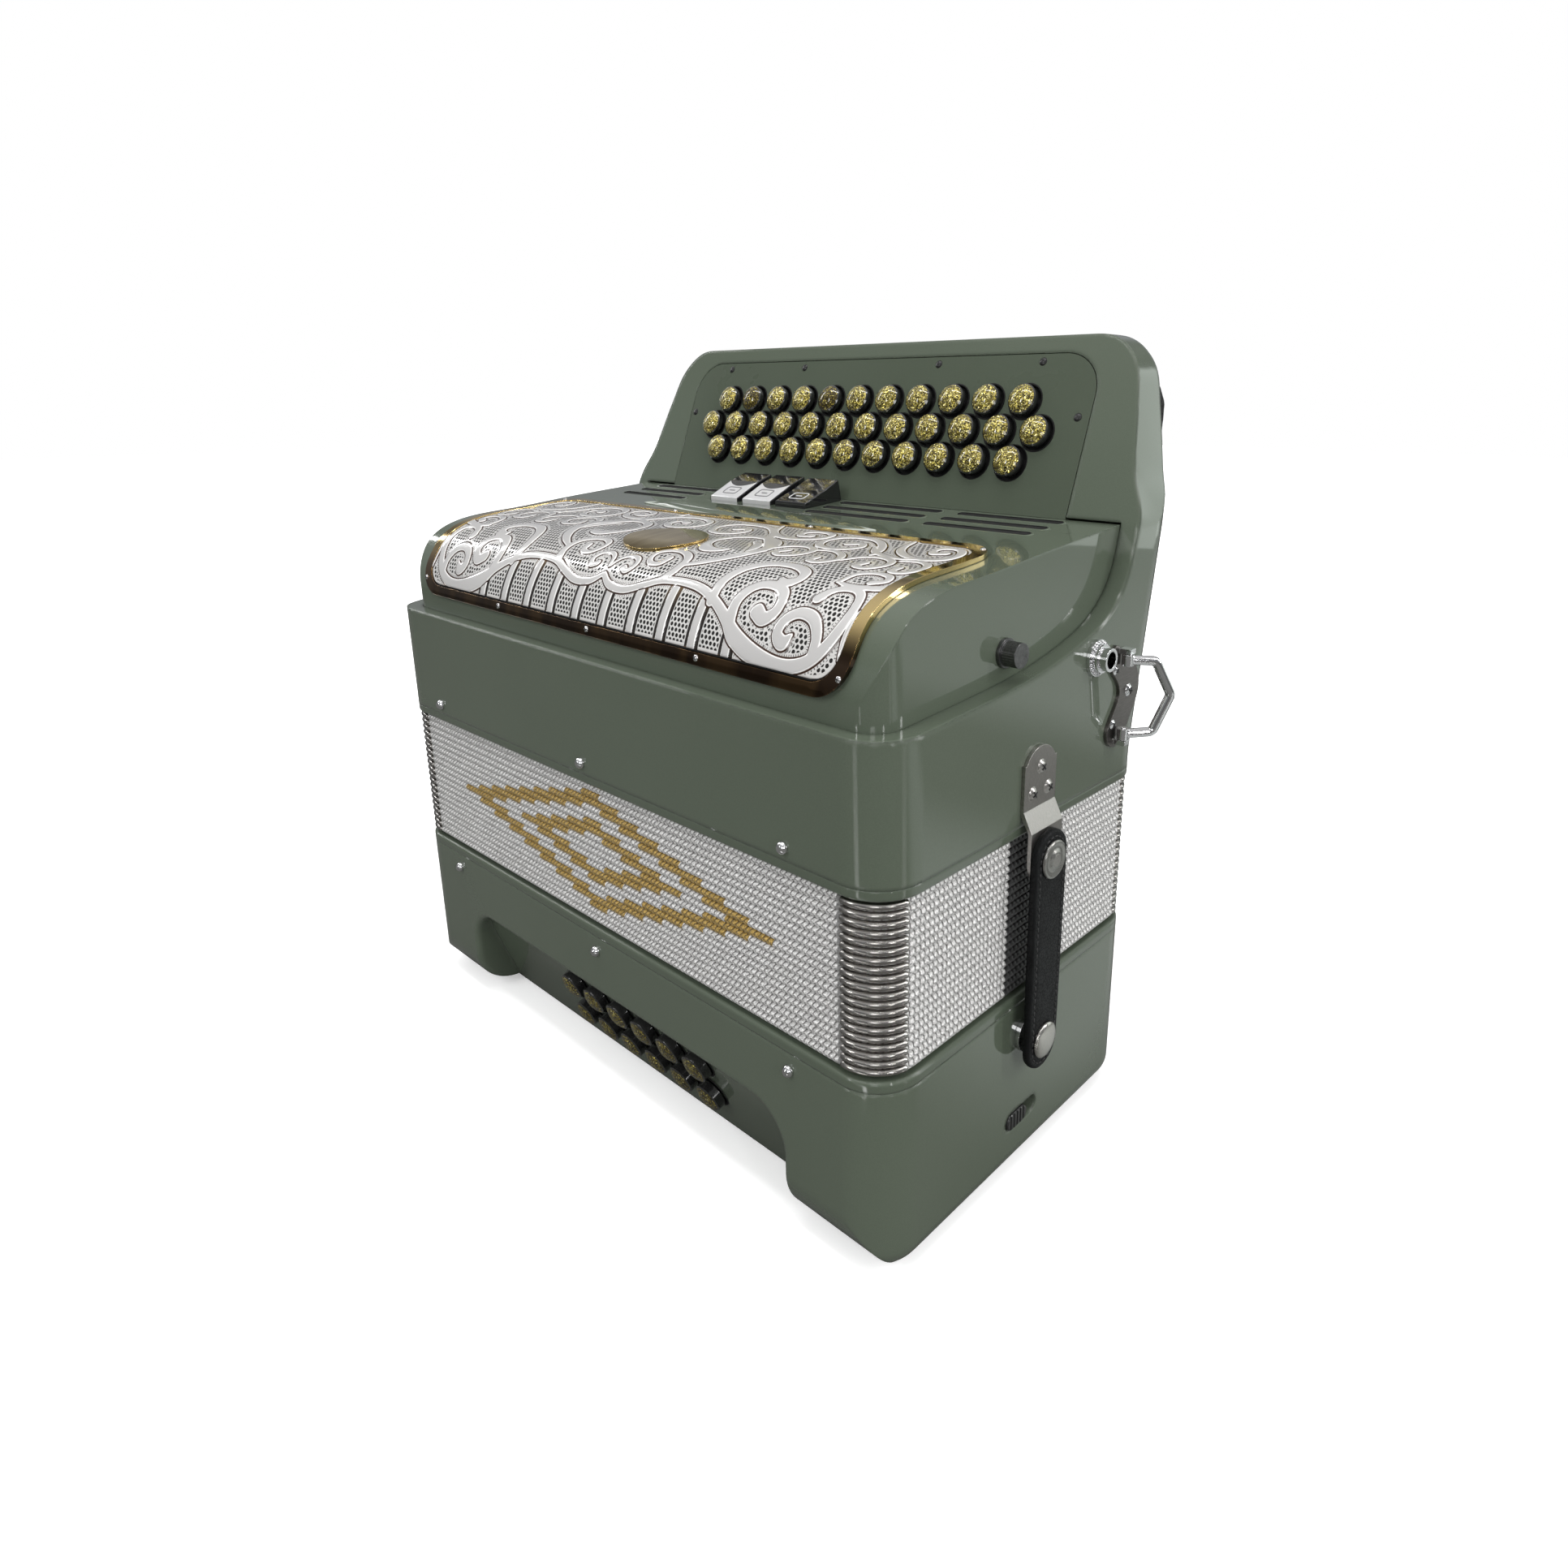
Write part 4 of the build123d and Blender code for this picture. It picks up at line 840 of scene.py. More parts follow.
def build_grille():
    columns, rows = ((440, 146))
    lengths = np.linspace(SHEET_LOW, SHEET_HIGH, rows)
    into_corner = np.minimum(np.minimum(lengths - SHEET_LOW, SHEET_HIGH - lengths), SHEET_R)
    half_width = SHEET_X - SHEET_R + np.sqrt(
        np.maximum(SHEET_R ** 2 - (SHEET_R - into_corner) ** 2, 0))
    u = np.linspace(-1, 1, columns)[None, :] * half_width[:, None]
    v = np.repeat(lengths[:, None], columns, 1)

    down = SCROLL_TOP - v
    scroll, along = nearest_stroke([smooth_curve(s, 7) for s in SCROLLS], np.abs(u), down)
    bar, _ = nearest_stroke([np.array([(x, top, BAR_WIDTH), (x, BAR_END, BAR_WIDTH)], float)
                             for x, top in BARS], np.abs(u), down)
    # distance to the sheet's own edge
    beyond_x = np.abs(u) - (SHEET_X - SHEET_R)
    beyond_v = (np.abs(v - (SHEET_LOW + SHEET_HIGH) / 2)
                - ((SHEET_HIGH - SHEET_LOW) / 2 - SHEET_R))
    edge = SHEET_R - (np.hypot(np.maximum(beyond_x, 0), np.maximum(beyond_v, 0))
                      + np.minimum(np.maximum(beyond_x, beyond_v), 0))

    # the strokes stand 0.42 mm above the sheet, with softened edges
    height = 1.42 + 0.42 / (1.0 + np.exp(np.minimum(scroll, bar) / 0.12))
    sheet = on_cover(u, v, height).reshape(-1, 3)
    faces = grid_faces(rows, columns)
    # skirt down to the plate
    rim = ([*range(columns)] + [j * columns + columns - 1 for j in range(1, rows)]
           + [(rows - 1) * columns + i for i in range(columns - 2, -1, -1)]
           + [j * columns for j in range(rows - 2, 0, -1)])
    skirt = on_cover(u, v, 1.0).reshape(-1, 3)[rim]
    base, count = len(sheet), len(rim)
    faces += [(rim[k], base + k, base + (k + 1) % count, rim[(k + 1) % count])
              for k in range(count)]

    def with_rim(values):
        return np.concatenate([values.reshape(-1), values.reshape(-1)[rim]])

    obj = add_mesh("grille_scrollwork", np.vstack([sheet, skirt]), faces, [grille_white()],
                   attributes={
                       "sd": with_rim(scroll), "bars": with_rim(bar),
                       "edge": np.concatenate([edge.reshape(-1), np.zeros(count)]),
                       "u": with_rim(u), "v": with_rim(v), "arc": with_rim(along)})
    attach(obj, "treble_end")


build_grille()


# ------------------------------------------------------------------ small screws
def cross_recess(parts, centre, axis, size, height, turn, width=0.2):
    """Dark cross on a screw head, painted shade in its recess; width is the arm width over its length."""
    x, y, axis = axes_about(axis)
    cos, sin = math.cos(turn), math.sin(turn)
    axes = (x * cos + y * sin, -x * sin + y * cos, axis)
    for length, across in ((size, size * width), (size * width, size)):
        parts.add(*box(np.array(centre, float) + axis * height, (length, across, 0.12), axes), 1)


def cover_screw(parts, x, length, radius, rise, size, height, turn):
    seat = on_cover(x, length, 1.85)
    normal = cover_normal(length)
    parts.add(*lathe(seat, normal, dome(radius, rise), 20))
    cross_recess(parts, seat, normal, size, height, turn)


def build_small_screws():
    parts = Parts()
    for k, x in enumerate((-66, 0.6, 67)):
        cover_screw(parts, x, length_at_z(205.2), radius=1.25, rise=0.55, size=1.5, height=0.68,
                    turn=0.5 + k)
    for x, length in ((133.2, length_at_z(209.5)), (-133.2, length_at_z(209.5)),
                      (131.5, length_at_y(0.2)), (-131.5, length_at_y(0.2)),
                      (-44, length_at_y(3.1)), (44, length_at_y(3.1))):
        cover_screw(parts, x, length, radius=1.15, rise=0.5, size=1.4, height=0.62, turn=0.2)
    sunk = 0.02     # recesses start this far inside the heads
    for side in (1, -1):
        # strap bracket screws
        for y, z in ((0, 167.7), (5.0, 158.8), (-5.0, 158.8)):
            cross_recess(parts, (side * (HALF_X + 1.52), y, z), (side, 0, 0), 2.9, 1.3 - sunk,
                         turn=0.35 * (y + 2), width=0.24)
        # ring plate screws: y, z, head radius, head height
        for y, z, radius, height in ((61.5, 181.9, 2.6, 1.3), (50.2, 192.0, 1.9, 0.9),
                                     (50.4, 170.4, 1.9, 0.9)):
            cross_recess(parts, (side * (HALF_X + 1.42), y, z), (side, 0, 0), radius * 1.1,
                         height - sunk, turn=0.2 * y, width=0.24)
    # ring of beads on the +X side
    beads, ring_radius = 26, 6.2
    for k in range(beads):
        angle = 2 * math.pi * k / beads
        centre = (HALF_X + 1.6, 36.6 + ring_radius * math.cos(angle),
                  199.5 + ring_radius * math.sin(angle))
        parts.add(*lathe(centre, (1, 0, 0), dome(0.5, 0.4, steps=3), 8))
    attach(parts.build("small_screws", [CHROME, RECESS_SHADE]), "treble_end")


build_small_screws()

# ------------------------------------------------------------------ treble button holes
BUTTON_PITCH = 18.6
# distance up the board, x of the first button, button count, inner radius of the rims
BUTTON_ROWS = ((47.2, -92.9, 11, 7.3), (33.85, -102.1, 12, 7.3), (20.7, -93.1, 11, 7.6))


def build_button_holes():
    # black rims lining each button hole: painted shade in the gap round each button
    parts = Parts()
    for along, first_x, count, inner in BUTTON_ROWS:
        profile = [(inner, -2.4), (7.9, -2.4), (7.9, 0.02), (8.12, 0.02), (8.1, 0.14),
                   (7.9, 0.2), (inner + 0.15, 0.1), (inner, -0.3), (inner, -2.4)]
        for i in range(count):
            centre = board_point(first_x + BUTTON_PITCH * i, along, 0.0)
            parts.add(*lathe(centre, (0, *BOARD_NORMAL), profile, 40))
    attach(parts.build("button_hole_shade_rims", [FELT_AND_SHADE]), "treble_end")

    # black sheet under the board: painted shade seen through the button holes
    bed = [board_point(x, along, -3.4)
           for x, along in ((-116, 8), (116, 8), (116, 61), (-116, 61))]
    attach(add_mesh("button_bed_shade", bed, [(0, 1, 2, 3)], [FELT_AND_SHADE], False), "treble_end")


build_button_holes()

# ------------------------------------------------------------------ crescent before the registers
# (x, y) of the back and front edges; they meet at both ends
CRESCENT_BACK = smooth_curve([(-86, 16.6), (-66, 23.6), (-40, 28.4), (-12, 28.6), (18, 24.6),
                              (46, 18.4), (70, 13.0)], 12)
CRESCENT_FRONT = smooth_curve([(-86, 16.6), (-64, 13.8), (-38, 10.2), (-10, 7.6), (20, 6.4),
                               (46, 7.6), (70, 13.0)], 12)


def build_crescent():
    steps = 12
    verts = []
    for front, back in zip(CRESCENT_FRONT, CRESCENT_BACK):
        width = np.linalg.norm(back - front)
        for j in range(steps + 1):
            t = j / steps
            x, y = front * (1 - t) + back * t
            height = 0.12 + 1.7 * min(1.0, width / 8.0) * (1 - abs(2 * t - 1) ** 7) ** 0.5
            verts.append(on_cover(x, length_at_y(y), height if 0 < j < steps else -0.3))
    obj = add_mesh("crescent_lip", verts, flipped(grid_faces(len(CRESCENT_BACK), steps + 1)),
                   [COVER_GREEN])
    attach(obj, "treble_end")

    # rounded rims, painted brighter than the cover as a highlight along the crescent's edges
    rim_radius, sides = 0.55, 8
    turns = [2 * math.pi * k / sides for k in range(sides)]
    profile = [(rim_radius * math.cos(a), rim_radius * math.sin(a)) for a in turns]
    rims = Parts()
    for curve in (CRESCENT_BACK, CRESCENT_FRONT):
        rims.add(*sweep(on_cover(curve[:, 0], length_at_y(curve[:, 1]), 0.35), profile))
    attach(rims.build("crescent_highlight_rims", [RIM_HIGHLIGHT]), "treble_end")


build_crescent()

# ------------------------------------------------------------------ cover vents
VENT_Y = (57.5, 46.0, 34.5)
VENT_X = ((9.5, 68.5), (77.5, 128.5), (-128.5, -77.5))
VENT_END = 1.8      # the round ends are centred this far inside each vent
# (radius, height) across the lip: the first four rings are green, the rest dark as painted shade inside the
# vent
VENT_LIP = ((2.9, -0.1), (2.7, 0.42), (2.3, 0.62), (1.85, 0.5), (1.75, 0.0), (1.7, -0.6))
VENT_GREEN_BANDS = 3


def build_vents():
    parts = Parts()
    angles = np.radians(-90 + 15 * np.arange(13))
    angles = np.concatenate([angles, angles + math.pi])
    cos, sin = np.cos(angles), np.sin(angles)
    for y in VENT_Y:
        for x0, x1 in VENT_X:
            centre_x = np.repeat([x1 - VENT_END, x0 + VENT_END], 13)
            # the lip is low at the front and full height at the back
            lift = 0.12 + 0.88 * (0.5 + 0.5 * sin)
            rings = np.vstack([
                on_cover(centre_x + cos * radius, length_at_y(y + sin * radius),
                         height * (lift if height > 0 else 1))
                for radius, height in VENT_LIP])
            faces = ring_faces(len(VENT_LIP), len(angles))
            split = VENT_GREEN_BANDS * len(angles)
            parts.add(rings, faces[:split], 0)
            parts.add(rings, faces[split:], 1)

            # dark strip on the floor of the vent: painted shade
            columns, half_depth = 24, 1.72
            middle, half_length = (x0 + x1) / 2, (x1 - x0) / 2
            vent_shade_strip = []
            for x in np.linspace(x0 + 0.4, x1 - 0.4, columns):
                taper = 1 - (abs(x - middle) / half_length) ** 30
                for depth in (-half_depth * taper, half_depth):
                    vent_shade_strip.append(on_cover(x, length_at_y(y + depth), 0.05))
            parts.add(vent_shade_strip, flipped(grid_faces(columns, 2)), 1)
    obj = parts.build("cover_vent_lips", [COVER_GREEN, FELT_AND_SHADE])
    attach(obj, "treble_end")


build_vents()

# ------------------------------------------------------------------ bass button collars
BASS_ROWS = (8.8, 26.9)         # distance down the plate
BASS_COUNT, BASS_PITCH, BASS_MIDDLE_X = 6, 17.2, 13.5
COLLAR = [(6.75, -2.0), (7.25, -2.0), (7.25, 0.02), (7.6, 0.02), (7.55, 0.2), (7.2, 0.3),
          (6.9, 0.15), (6.75, -0.3), (6.75, -2.0)]      # radius, height


def build_bass_collars():
    # black collars round each bass button: painted shade round the buttons
    parts = Parts()
    for along in BASS_ROWS:
        for i in range(BASS_COUNT):
            x = BASS_MIDDLE_X + (i - (BASS_COUNT - 1) / 2) * BASS_PITCH
            parts.add(*lathe(bass_point(x, along), (0, *BASS_NORMAL), COLLAR, 36))
    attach(parts.build("bass_button_shade_collars", [FELT_AND_SHADE]), "bass_end")


build_bass_collars()

# ------------------------------------------------------------------ bellows
FOLDS = 20
BELLOWS_LOW, BELLOWS_HIGH = 79.1, 143.07
FOLDS_START, FOLD_PITCH = 80.35, 3.12
CORD_INSET = 2.75                       # cord centre line inside the casing outline
CORD_OUT, CORD_UP, CORD_SIDES = 1.5, 1.46, 10
CAP_OUT, CAP_UP, CAP_SIDES = 1.95, 1.36, 10
CAP_START, CAP_END = -3.0, 74.0         # degrees round the corner, from the long side
CREST_INSET, VALLEY_INSET, END_INSET = 3.2, 17.0, 6.0


def fold_z(index):
    """Middle height of a fold, counted from below."""
    return FOLDS_START + FOLD_PITCH * (index + 0.5)


def blend_at(z):
    """0 at the bass end of the bellows, 1 at the treble end."""
    return (z - BELLOWS_LOW) / (BELLOWS_HIGH - BELLOWS_LOW)


def cord_path():
    """Closed centre line of a cord in about 3 mm steps, with the length along it."""
    arcs = corner_arcs(HALF_X - CORD_INSET, HALF_Y - CORD_INSET, CORNER_R - CORD_INSET, 10)
    corners = np.array([point for arc in arcs for point in arc])
    points = []
    for start, end in zip(corners, np.roll(corners, -1, 0)):
        steps = max(1, int(round(np.linalg.norm(end - start) / 3.0)))
        points += [start + (end - start) * k / steps for k in range(steps)]
    points = np.array(points)
    return points, lengths_along(points)


def bellows_cord():
    """Twisted white cord with gold chevrons in front and a black patch on each end."""
    mat = Shader("bellows_cord")
    row = mat.attribute("row")
    x, y, _ = mat.separate()
    x_mm, y_mm = mat.mul(x, 1000.0), mat.mul(y, 1000.0)
    front = mat.below(y_mm, -70.0)
    from_middle_row = mat.absolute(mat.sub(row, 9.0))
    from_middle = mat.absolute(mat.sub(x_mm, 0.3))
    chevron_step = 12.5         # the chevrons move in by this much per row

    def chevron(rows):
        """Band two steps wide whose point lies the given rows from the middle row."""
        outer = mat.sub(rows * chevron_step, mat.mul(from_middle_row, chevron_step))
        return mat.mul(mat.below(from_middle, outer),
                       mat.above(from_middle, mat.sub(outer, 2 * chevron_step)),
                       mat.below(from_middle_row, rows))

    gold = mat.mul(mat.larger(chevron(8.5), chevron(4.5)), front)
    side = mat.above(mat.absolute(x_mm), 150.0)
    black = mat.mul(mat.above(y_mm, -13.2), mat.below(y_mm, 12.0), side)

    # the twist: strands wind round the cord, fine fibres lie on the strands
    along, angle = mat.attribute("s"), mat.attribute("a")
    strand_length, wobble = 2.35, mat.mul(mat.noise(260.0, detail=2.0), 2.2)
    lay = mat.add(mat.mul(along, math.pi / strand_length),
                  mat.add(mat.mul(mat.sine(angle), -1.15), wobble))
    strand = mat.absolute(mat.sine(lay))
    fibre_lay = mat.add(mat.mul(along, 1.0), mat.mul(mat.sine(angle), -1.2))
    fibre_and_glint = mat.absolute(mat.sine(mat.mul(fibre_lay, 9.0)))
    # the grooves between strands are painted dark as shade, and the fibres are painted lighter as glints
    groove_shade = mat.step(strand, 0.08, 0.62)

    fleck = mat.noise(1900.0)
    white = mat.mottle(fleck, (0.42, 0.41, 0.40), (0.95, 0.945, 0.93), low=0.38, high=0.64)
    white = mat.mix(mat.mul(fibre_and_glint, 0.25), white, (0.98, 0.98, 0.97))
    white = mat.mix(groove_shade, (0.15, 0.145, 0.14), white)
    yellow = mat.mottle(fleck, (0.27, 0.165, 0.03), (0.66, 0.45, 0.13), low=0.38, high=0.64)
    yellow = mat.mix(groove_shade, (0.085, 0.055, 0.012), yellow)
    colour = mat.mix(black, mat.mix(gold, white, yellow), grey(0.010))
    relief = mat.add(strand, mat.mul(fibre_and_glint, 0.1))
    return mat.set(Base_Color=colour, Roughness=0.36, Metallic=mat.mul(mat.invert(black), 0.15),
                   Sheen_Weight=0.1, Normal=mat.bump(relief, distance=0.0006, strength=0.9))


def build_cords():
    """One cord per fold, from the top down."""
    path, lengths = cord_path()
    tangent = loop_tangents(path)
    outward = np.stack([tangent[:, 1], -tangent[:, 0]], -1)
    count = len(path)
    angles = [2 * math.pi * k / CORD_SIDES + math.pi / CORD_SIDES for k in range(CORD_SIDES)]
    faces = flipped(ring_faces(count, CORD_SIDES, closed=True))
    parts = Parts()
    for row in range(FOLDS):
        z = fold_z(FOLDS - 1 - row)
        strips = [np.column_stack([path + outward * (CORD_OUT * math.cos(angle)),
                                   np.full(count, z + CORD_UP * math.sin(angle))])
                  for angle in angles]
        parts.add(np.stack(strips, 1).reshape(-1, 3), faces, row=float(row),
                  s=np.repeat(lengths, CORD_SIDES), a=np.tile(angles, count), w=blend_at(z))
    return parts.build("bellows_cords", [bellows_cord()]), parts.values("w")


def build_corner_caps():
    """Metal sleeves over the cords at the four corners."""
    radius = CORNER_R - CORD_INSET + 0.35
    centre_x, centre_y = HALF_X - CORNER_R, HALF_Y - CORNER_R
    path = []
    for k in range(13):
        angle = math.radians(CAP_START + (CAP_END - CAP_START) * k / 12)
        if angle < 0:
            path.append((centre_x + radius * angle, centre_y + radius))
        else:
            path.append((centre_x + radius * math.sin(angle),
                         centre_y + radius * math.cos(angle)))
    path = np.array(path)
    # the ends are rounded by two smaller rings each
    sizes = [0.35, 0.8] + [1.0] * len(path) + [0.8, 0.35]
    faces = flipped(ring_faces(len(sizes), CAP_SIDES))
    faces += [face[::-1] for face in end_faces(len(sizes), CAP_SIDES)]
    turns = [2 * math.pi * k / CAP_SIDES for k in range(CAP_SIDES)]
    parts = Parts()
    for row in range(FOLDS):
        z = fold_z(FOLDS - 1 - row)
        for sx in (1, -1):
            for sy in (-1, 1):
                line = np.column_stack([path * (sx, sy), np.full(len(path), z)])
                if sx * sy > 0:
                    line = line[::-1]
                tangent = unit(np.gradient(line, axis=0))
                outward = np.cross(tangent, (0, 0, 1.0))
                first, last = tangent[0], tangent[-1]
                centres = [line[0] - first * 1.1, line[0] - first * 0.7, *line,
                           line[-1] + last * 0.7, line[-1] + last * 1.1]
                outs = [outward[0]] * 2 + [*outward] + [outward[-1]] * 2
                verts = [centre + out * (CAP_OUT * size * math.cos(turn))
                         + np.array((0, 0, CAP_UP * size * math.sin(turn)))
                         for centre, out, size in zip(centres, outs, sizes) for turn in turns]
                parts.add(verts, faces, w=blend_at(z))
    return parts.build("bellows_corner_caps", [GUNMETAL]), parts.values("w")


def bellows_card():
    """Grey card, its dark grey partly the card's own tone and partly painted shade between the cords; black
    at the corners.
    """
    mat = Shader("bellows_card")
    x, y, _ = mat.separate()
    corner = mat.mul(mat.above(mat.absolute(x), 0.1365), mat.above(mat.absolute(y), 0.0625))
    grain = mat.noise(900.0)
    # the card's grey is kept dark so that the gaps between the cords read as painted shade
    colour = mat.mottle(grain, (0.10, 0.098, 0.095), (0.16, 0.156, 0.15))
    return mat.set(Base_Color=mat.mix(corner, colour, grey(0.015)), Roughness=0.75,
                   Normal=mat.bump(grain, distance=0.0002, strength=0.5))


def pleat_ring(inset):
    """Rounded rectangle whose corners tighten from crest to valley, with divided sides."""
    tight, side_steps = 6.0, 8
    radius = tight + ((CORNER_R - CREST_INSET - tight) * (VALLEY_INSET - inset)
                      / (VALLEY_INSET - CREST_INSET))
    arcs = corner_arcs(HALF_X - inset, HALF_Y - inset, radius, 6)
    points = []
    for arc, following in zip(arcs, arcs[1:] + arcs[:1]):
        (x0, y0), (x1, y1) = arc[-1], following[0]
        points += arc + [(x0 + (x1 - x0) * k / side_steps, y0 + (y1 - y0) * k / side_steps)
                         for k in range(1, side_steps)]
    return np.array(points)


def build_pleats():
    """Folded card behind the cords."""
    levels = [(BELLOWS_LOW, END_INSET)]
    for k in range(FOLDS):
        levels.append((fold_z(k), CREST_INSET))
        if k < FOLDS - 1:
            levels.append((fold_z(k) + FOLD_PITCH / 2, VALLEY_INSET))
    levels.append((BELLOWS_HIGH, END_INSET))
    rings = []
    for z, inset in levels:
        ring = pleat_ring(inset)
        rings.append(np.column_stack([ring, np.full(len(ring), z)]))
    count = len(rings[0])
    obj = add_mesh("bellows_pleats", np.vstack(rings), ring_faces(len(rings), count),
                   [bellows_card()], False)
    return obj, np.repeat([blend_at(z) for z, _ in levels], count)


def build_bellows():
    pieces = (build_cords(), build_corner_caps(), build_pleats())
    for obj, weights in pieces:
        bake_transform(obj, "bass_end", "treble_end", start=(0, 0, BELLOWS_LOW / 1000),
                 end=(0, 0, BELLOWS_HIGH / 1000))
        layer = obj.data.attributes["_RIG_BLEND"]
        layer.data.foreach_set("value", np.clip(weights, 0, 1).astype(np.float32))
    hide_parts("bellows_folds")


build_bellows()

# ------------------------------------------------------------------ bellows straps
SNAP_HIGH, SNAP_LOW = 134.5, 61.0
STRAP_INNER, STRAP_OUTER = HALF_X + 4.75, HALF_X + 7.95
STITCH_INSET = 2.45
# (x, inset from the outline) from the inner to the outer face, with a pressed stitch line
STRAP_LEVELS = (
    (STRAP_INNER, 0.9), (STRAP_INNER + 0.35, 0.25), (STRAP_INNER + 1.0, 0.0),
    (STRAP_OUTER - 1.0, 0.0), (STRAP_OUTER - 0.35, 0.2), (STRAP_OUTER, 0.9),
    (STRAP_OUTER + 0.06, 2.0), (STRAP_OUTER - 0.14, STITCH_INSET), (STRAP_OUTER + 0.05, 2.9),
    (STRAP_OUTER + 0.1, 5.0))
# (radius, height)
LOWER_SNAP = [(0, 0), (6.6, 0), (7.0, 0.35), (7.0, 0.9), (6.7, 1.25), (5.6, 1.75), (3.8, 2.15),
              (1.8, 2.35), (0, 2.4)]
UPPER_WASHER = [(2.0, 0), (6.9, 0), (7.3, 0.35), (7.2, 0.9), (6.7, 1.35), (6.0, 1.3),
                (5.2, 0.98), (4.4, 0.98), (3.9, 1.25), (3.2, 1.75), (2.6, 1.95), (2.0, 1.9),
                (2.0, 0)]


def strap_outline(inset, spacing):
    """(y, z) round the strap: two half circles, evenly divided."""
    steps = 14
    points = []
    for start, z, radius in ((0, SNAP_HIGH + 0.6, 10.2 - inset),
                             (math.pi, SNAP_LOW - 2.2, 9.7 - inset)):
        for k in range(steps + 1):
            angle = start + math.pi * k / steps
            points.append((radius * math.cos(angle), z + radius * math.sin(angle)))
    loop = np.array(points + points[:1])
    lengths = lengths_along(loop)
    at = np.linspace(0, lengths[-1], int(lengths[-1] / spacing), endpoint=False)
    return np.column_stack([np.interp(at, lengths, loop[:, k]) for k in (0, 1)])


def build_bellows_straps():
    parts = Parts()
    outline = strap_outline(0, 1.6)
    tangent = loop_tangents(outline)
    inward = np.stack([-tangent[:, 1], tangent[:, 0]], -1)
    stitch_line = strap_outline(STITCH_INSET, 2.6)
    count = len(outline)
    for side in (1, -1):
        verts = np.vstack([np.column_stack([np.full(count, side * x), outline + inward * inset])
                           for x, inset in STRAP_LEVELS])
        faces = ring_faces(len(STRAP_LEVELS), count) + end_faces(len(STRAP_LEVELS), count)[::-1]
        parts.add(verts, faces if side > 0 else [face[::-1] for face in faces])
        for (y, z), (ty, tz) in zip(stitch_line, loop_tangents(stitch_line)):
            parts.add(*box((side * (STRAP_OUTER + 0.05), y, z), (1.7, 0.42, 0.34),
                           ((0, ty, tz), (0, -tz, ty), (1, 0, 0))), 1)
        for slot, z, profile in ((2, SNAP_LOW, LOWER_SNAP), (3, SNAP_HIGH, UPPER_WASHER)):
            base = (side * (STRAP_OUTER + 0.02), 0, z)
            parts.add(*lathe(base, (side, 0, 0), profile, 40), slot)
    obj = parts.build("bellows_strap_leather", [LEATHER, STITCH, NICKEL, STEEL])
    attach(obj, "bellows_straps")
    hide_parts("bellows_straps")


build_bellows_straps()

# ------------------------------------------------------------------ palm pad
PAD_LOW, PAD_HIGH = 262.2, 302.8
# z stations with the pad's thickness, and z stations with its half length
PAD_THICK_Z = (262.0, 263.2, 266, 276, 284, 290, 296, 300.5, 302.2, 303.0)
PAD_THICK = (0.3, 4.2, 7.0, 9.4, 9.7, 9.2, 7.4, 4.8, 2.8, 0.3)
PAD_HALF_Z = (262.0, 264, 268, 290, 296, 300, 303.0)
PAD_HALF = (141.0, 143.4, 144.4, 144.0, 142.0, 139.4, 134.5)


def build_palm_pad():
    """Padded leather on the back of the casing, behind the button board."""
    columns, rows = 121, 34
    verts = []
    for z in PAD_LOW + (PAD_HIGH - PAD_LOW) * (1 - np.cos(np.linspace(0, math.pi, rows))) / 2:
        casing_back = 97.0 + (z - 243) * 7.0 / 74
        thickness = float(np.interp(z, PAD_THICK_Z, PAD_THICK))
        half = float(np.interp(z, PAD_HALF_Z, PAD_HALF))
        for i in range(columns):
            # columns crowd towards both ends
            even = 2 * i / (columns - 1) - 1
            x = half * (0.55 * -math.cos(math.pi * i / (columns - 1)) + 0.45 * even)
            bulge = (1 - math.exp(-max(half - abs(x), 0.0) / 1.6)) ** 0.6
            piping = (0.7 * abs(math.sin(math.pi * (x + 133) / 266 * 15)) ** 0.5
                      * min(1.0, thickness / 7.0))
            wrinkle = 0.2 * math.sin(x * 0.21 + z * 0.4) * math.sin(z * 0.7)
            depth = (thickness + piping - 0.5 + wrinkle) * bulge
            verts.append((x, casing_back - 0.3 + depth, z))
    obj = add_mesh("palm_pad_leather", verts, flipped(grid_faces(rows, columns)), [PAD_LEATHER])
    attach(obj, "treble_end")
    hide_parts("palm_pad")


build_palm_pad()

# ------------------------------------------------------------------ hand strap under the bass end
# (y, z) section, swept along x
HAND_STRAP = [(-25, 4.9), (-24.6, 4.0), (-23.8, 3.45), (29.8, 3.45), (30.6, 4.0), (31, 4.9),
              (30.6, 5.9), (29.8, 6.4), (-23.8, 6.4), (-24.6, 5.9)]


def build_hand_strap():
    stations = np.linspace(-131, 131, 80)
    rows, per_row = len(stations), len(HAND_STRAP)
    parts = Parts()
    parts.add([(x, y, z) for x in stations for y, z in HAND_STRAP],
              ring_faces(rows, per_row) + end_faces(rows, per_row))
    for y in (-21.5, 27.5):
        for x in np.arange(-128, 128.1, 3.4):
            parts.add(*box((x, y, 3.4), (2.2, 0.5, 0.35)), 1)
    obj = parts.build("hand_strap_leather", [LEATHER, STITCH])
    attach(obj, "bass_end")
    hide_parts("bass_hand_strap")


build_hand_strap()

# ------------------------------------------------------------------ marks on the register rockers
# (y, z) of the front and back of each rocker's slope, and the mark's material
ROCKER_SLOPES = (((39.0, 244.6), (52.8, 251.4), MARK_GREY),
                 ((39.0, 244.6), (52.8, 251.4), MARK_GREY),
                 ((39.0, 245.2), (51.0, 249.8), MARK_WHITE))


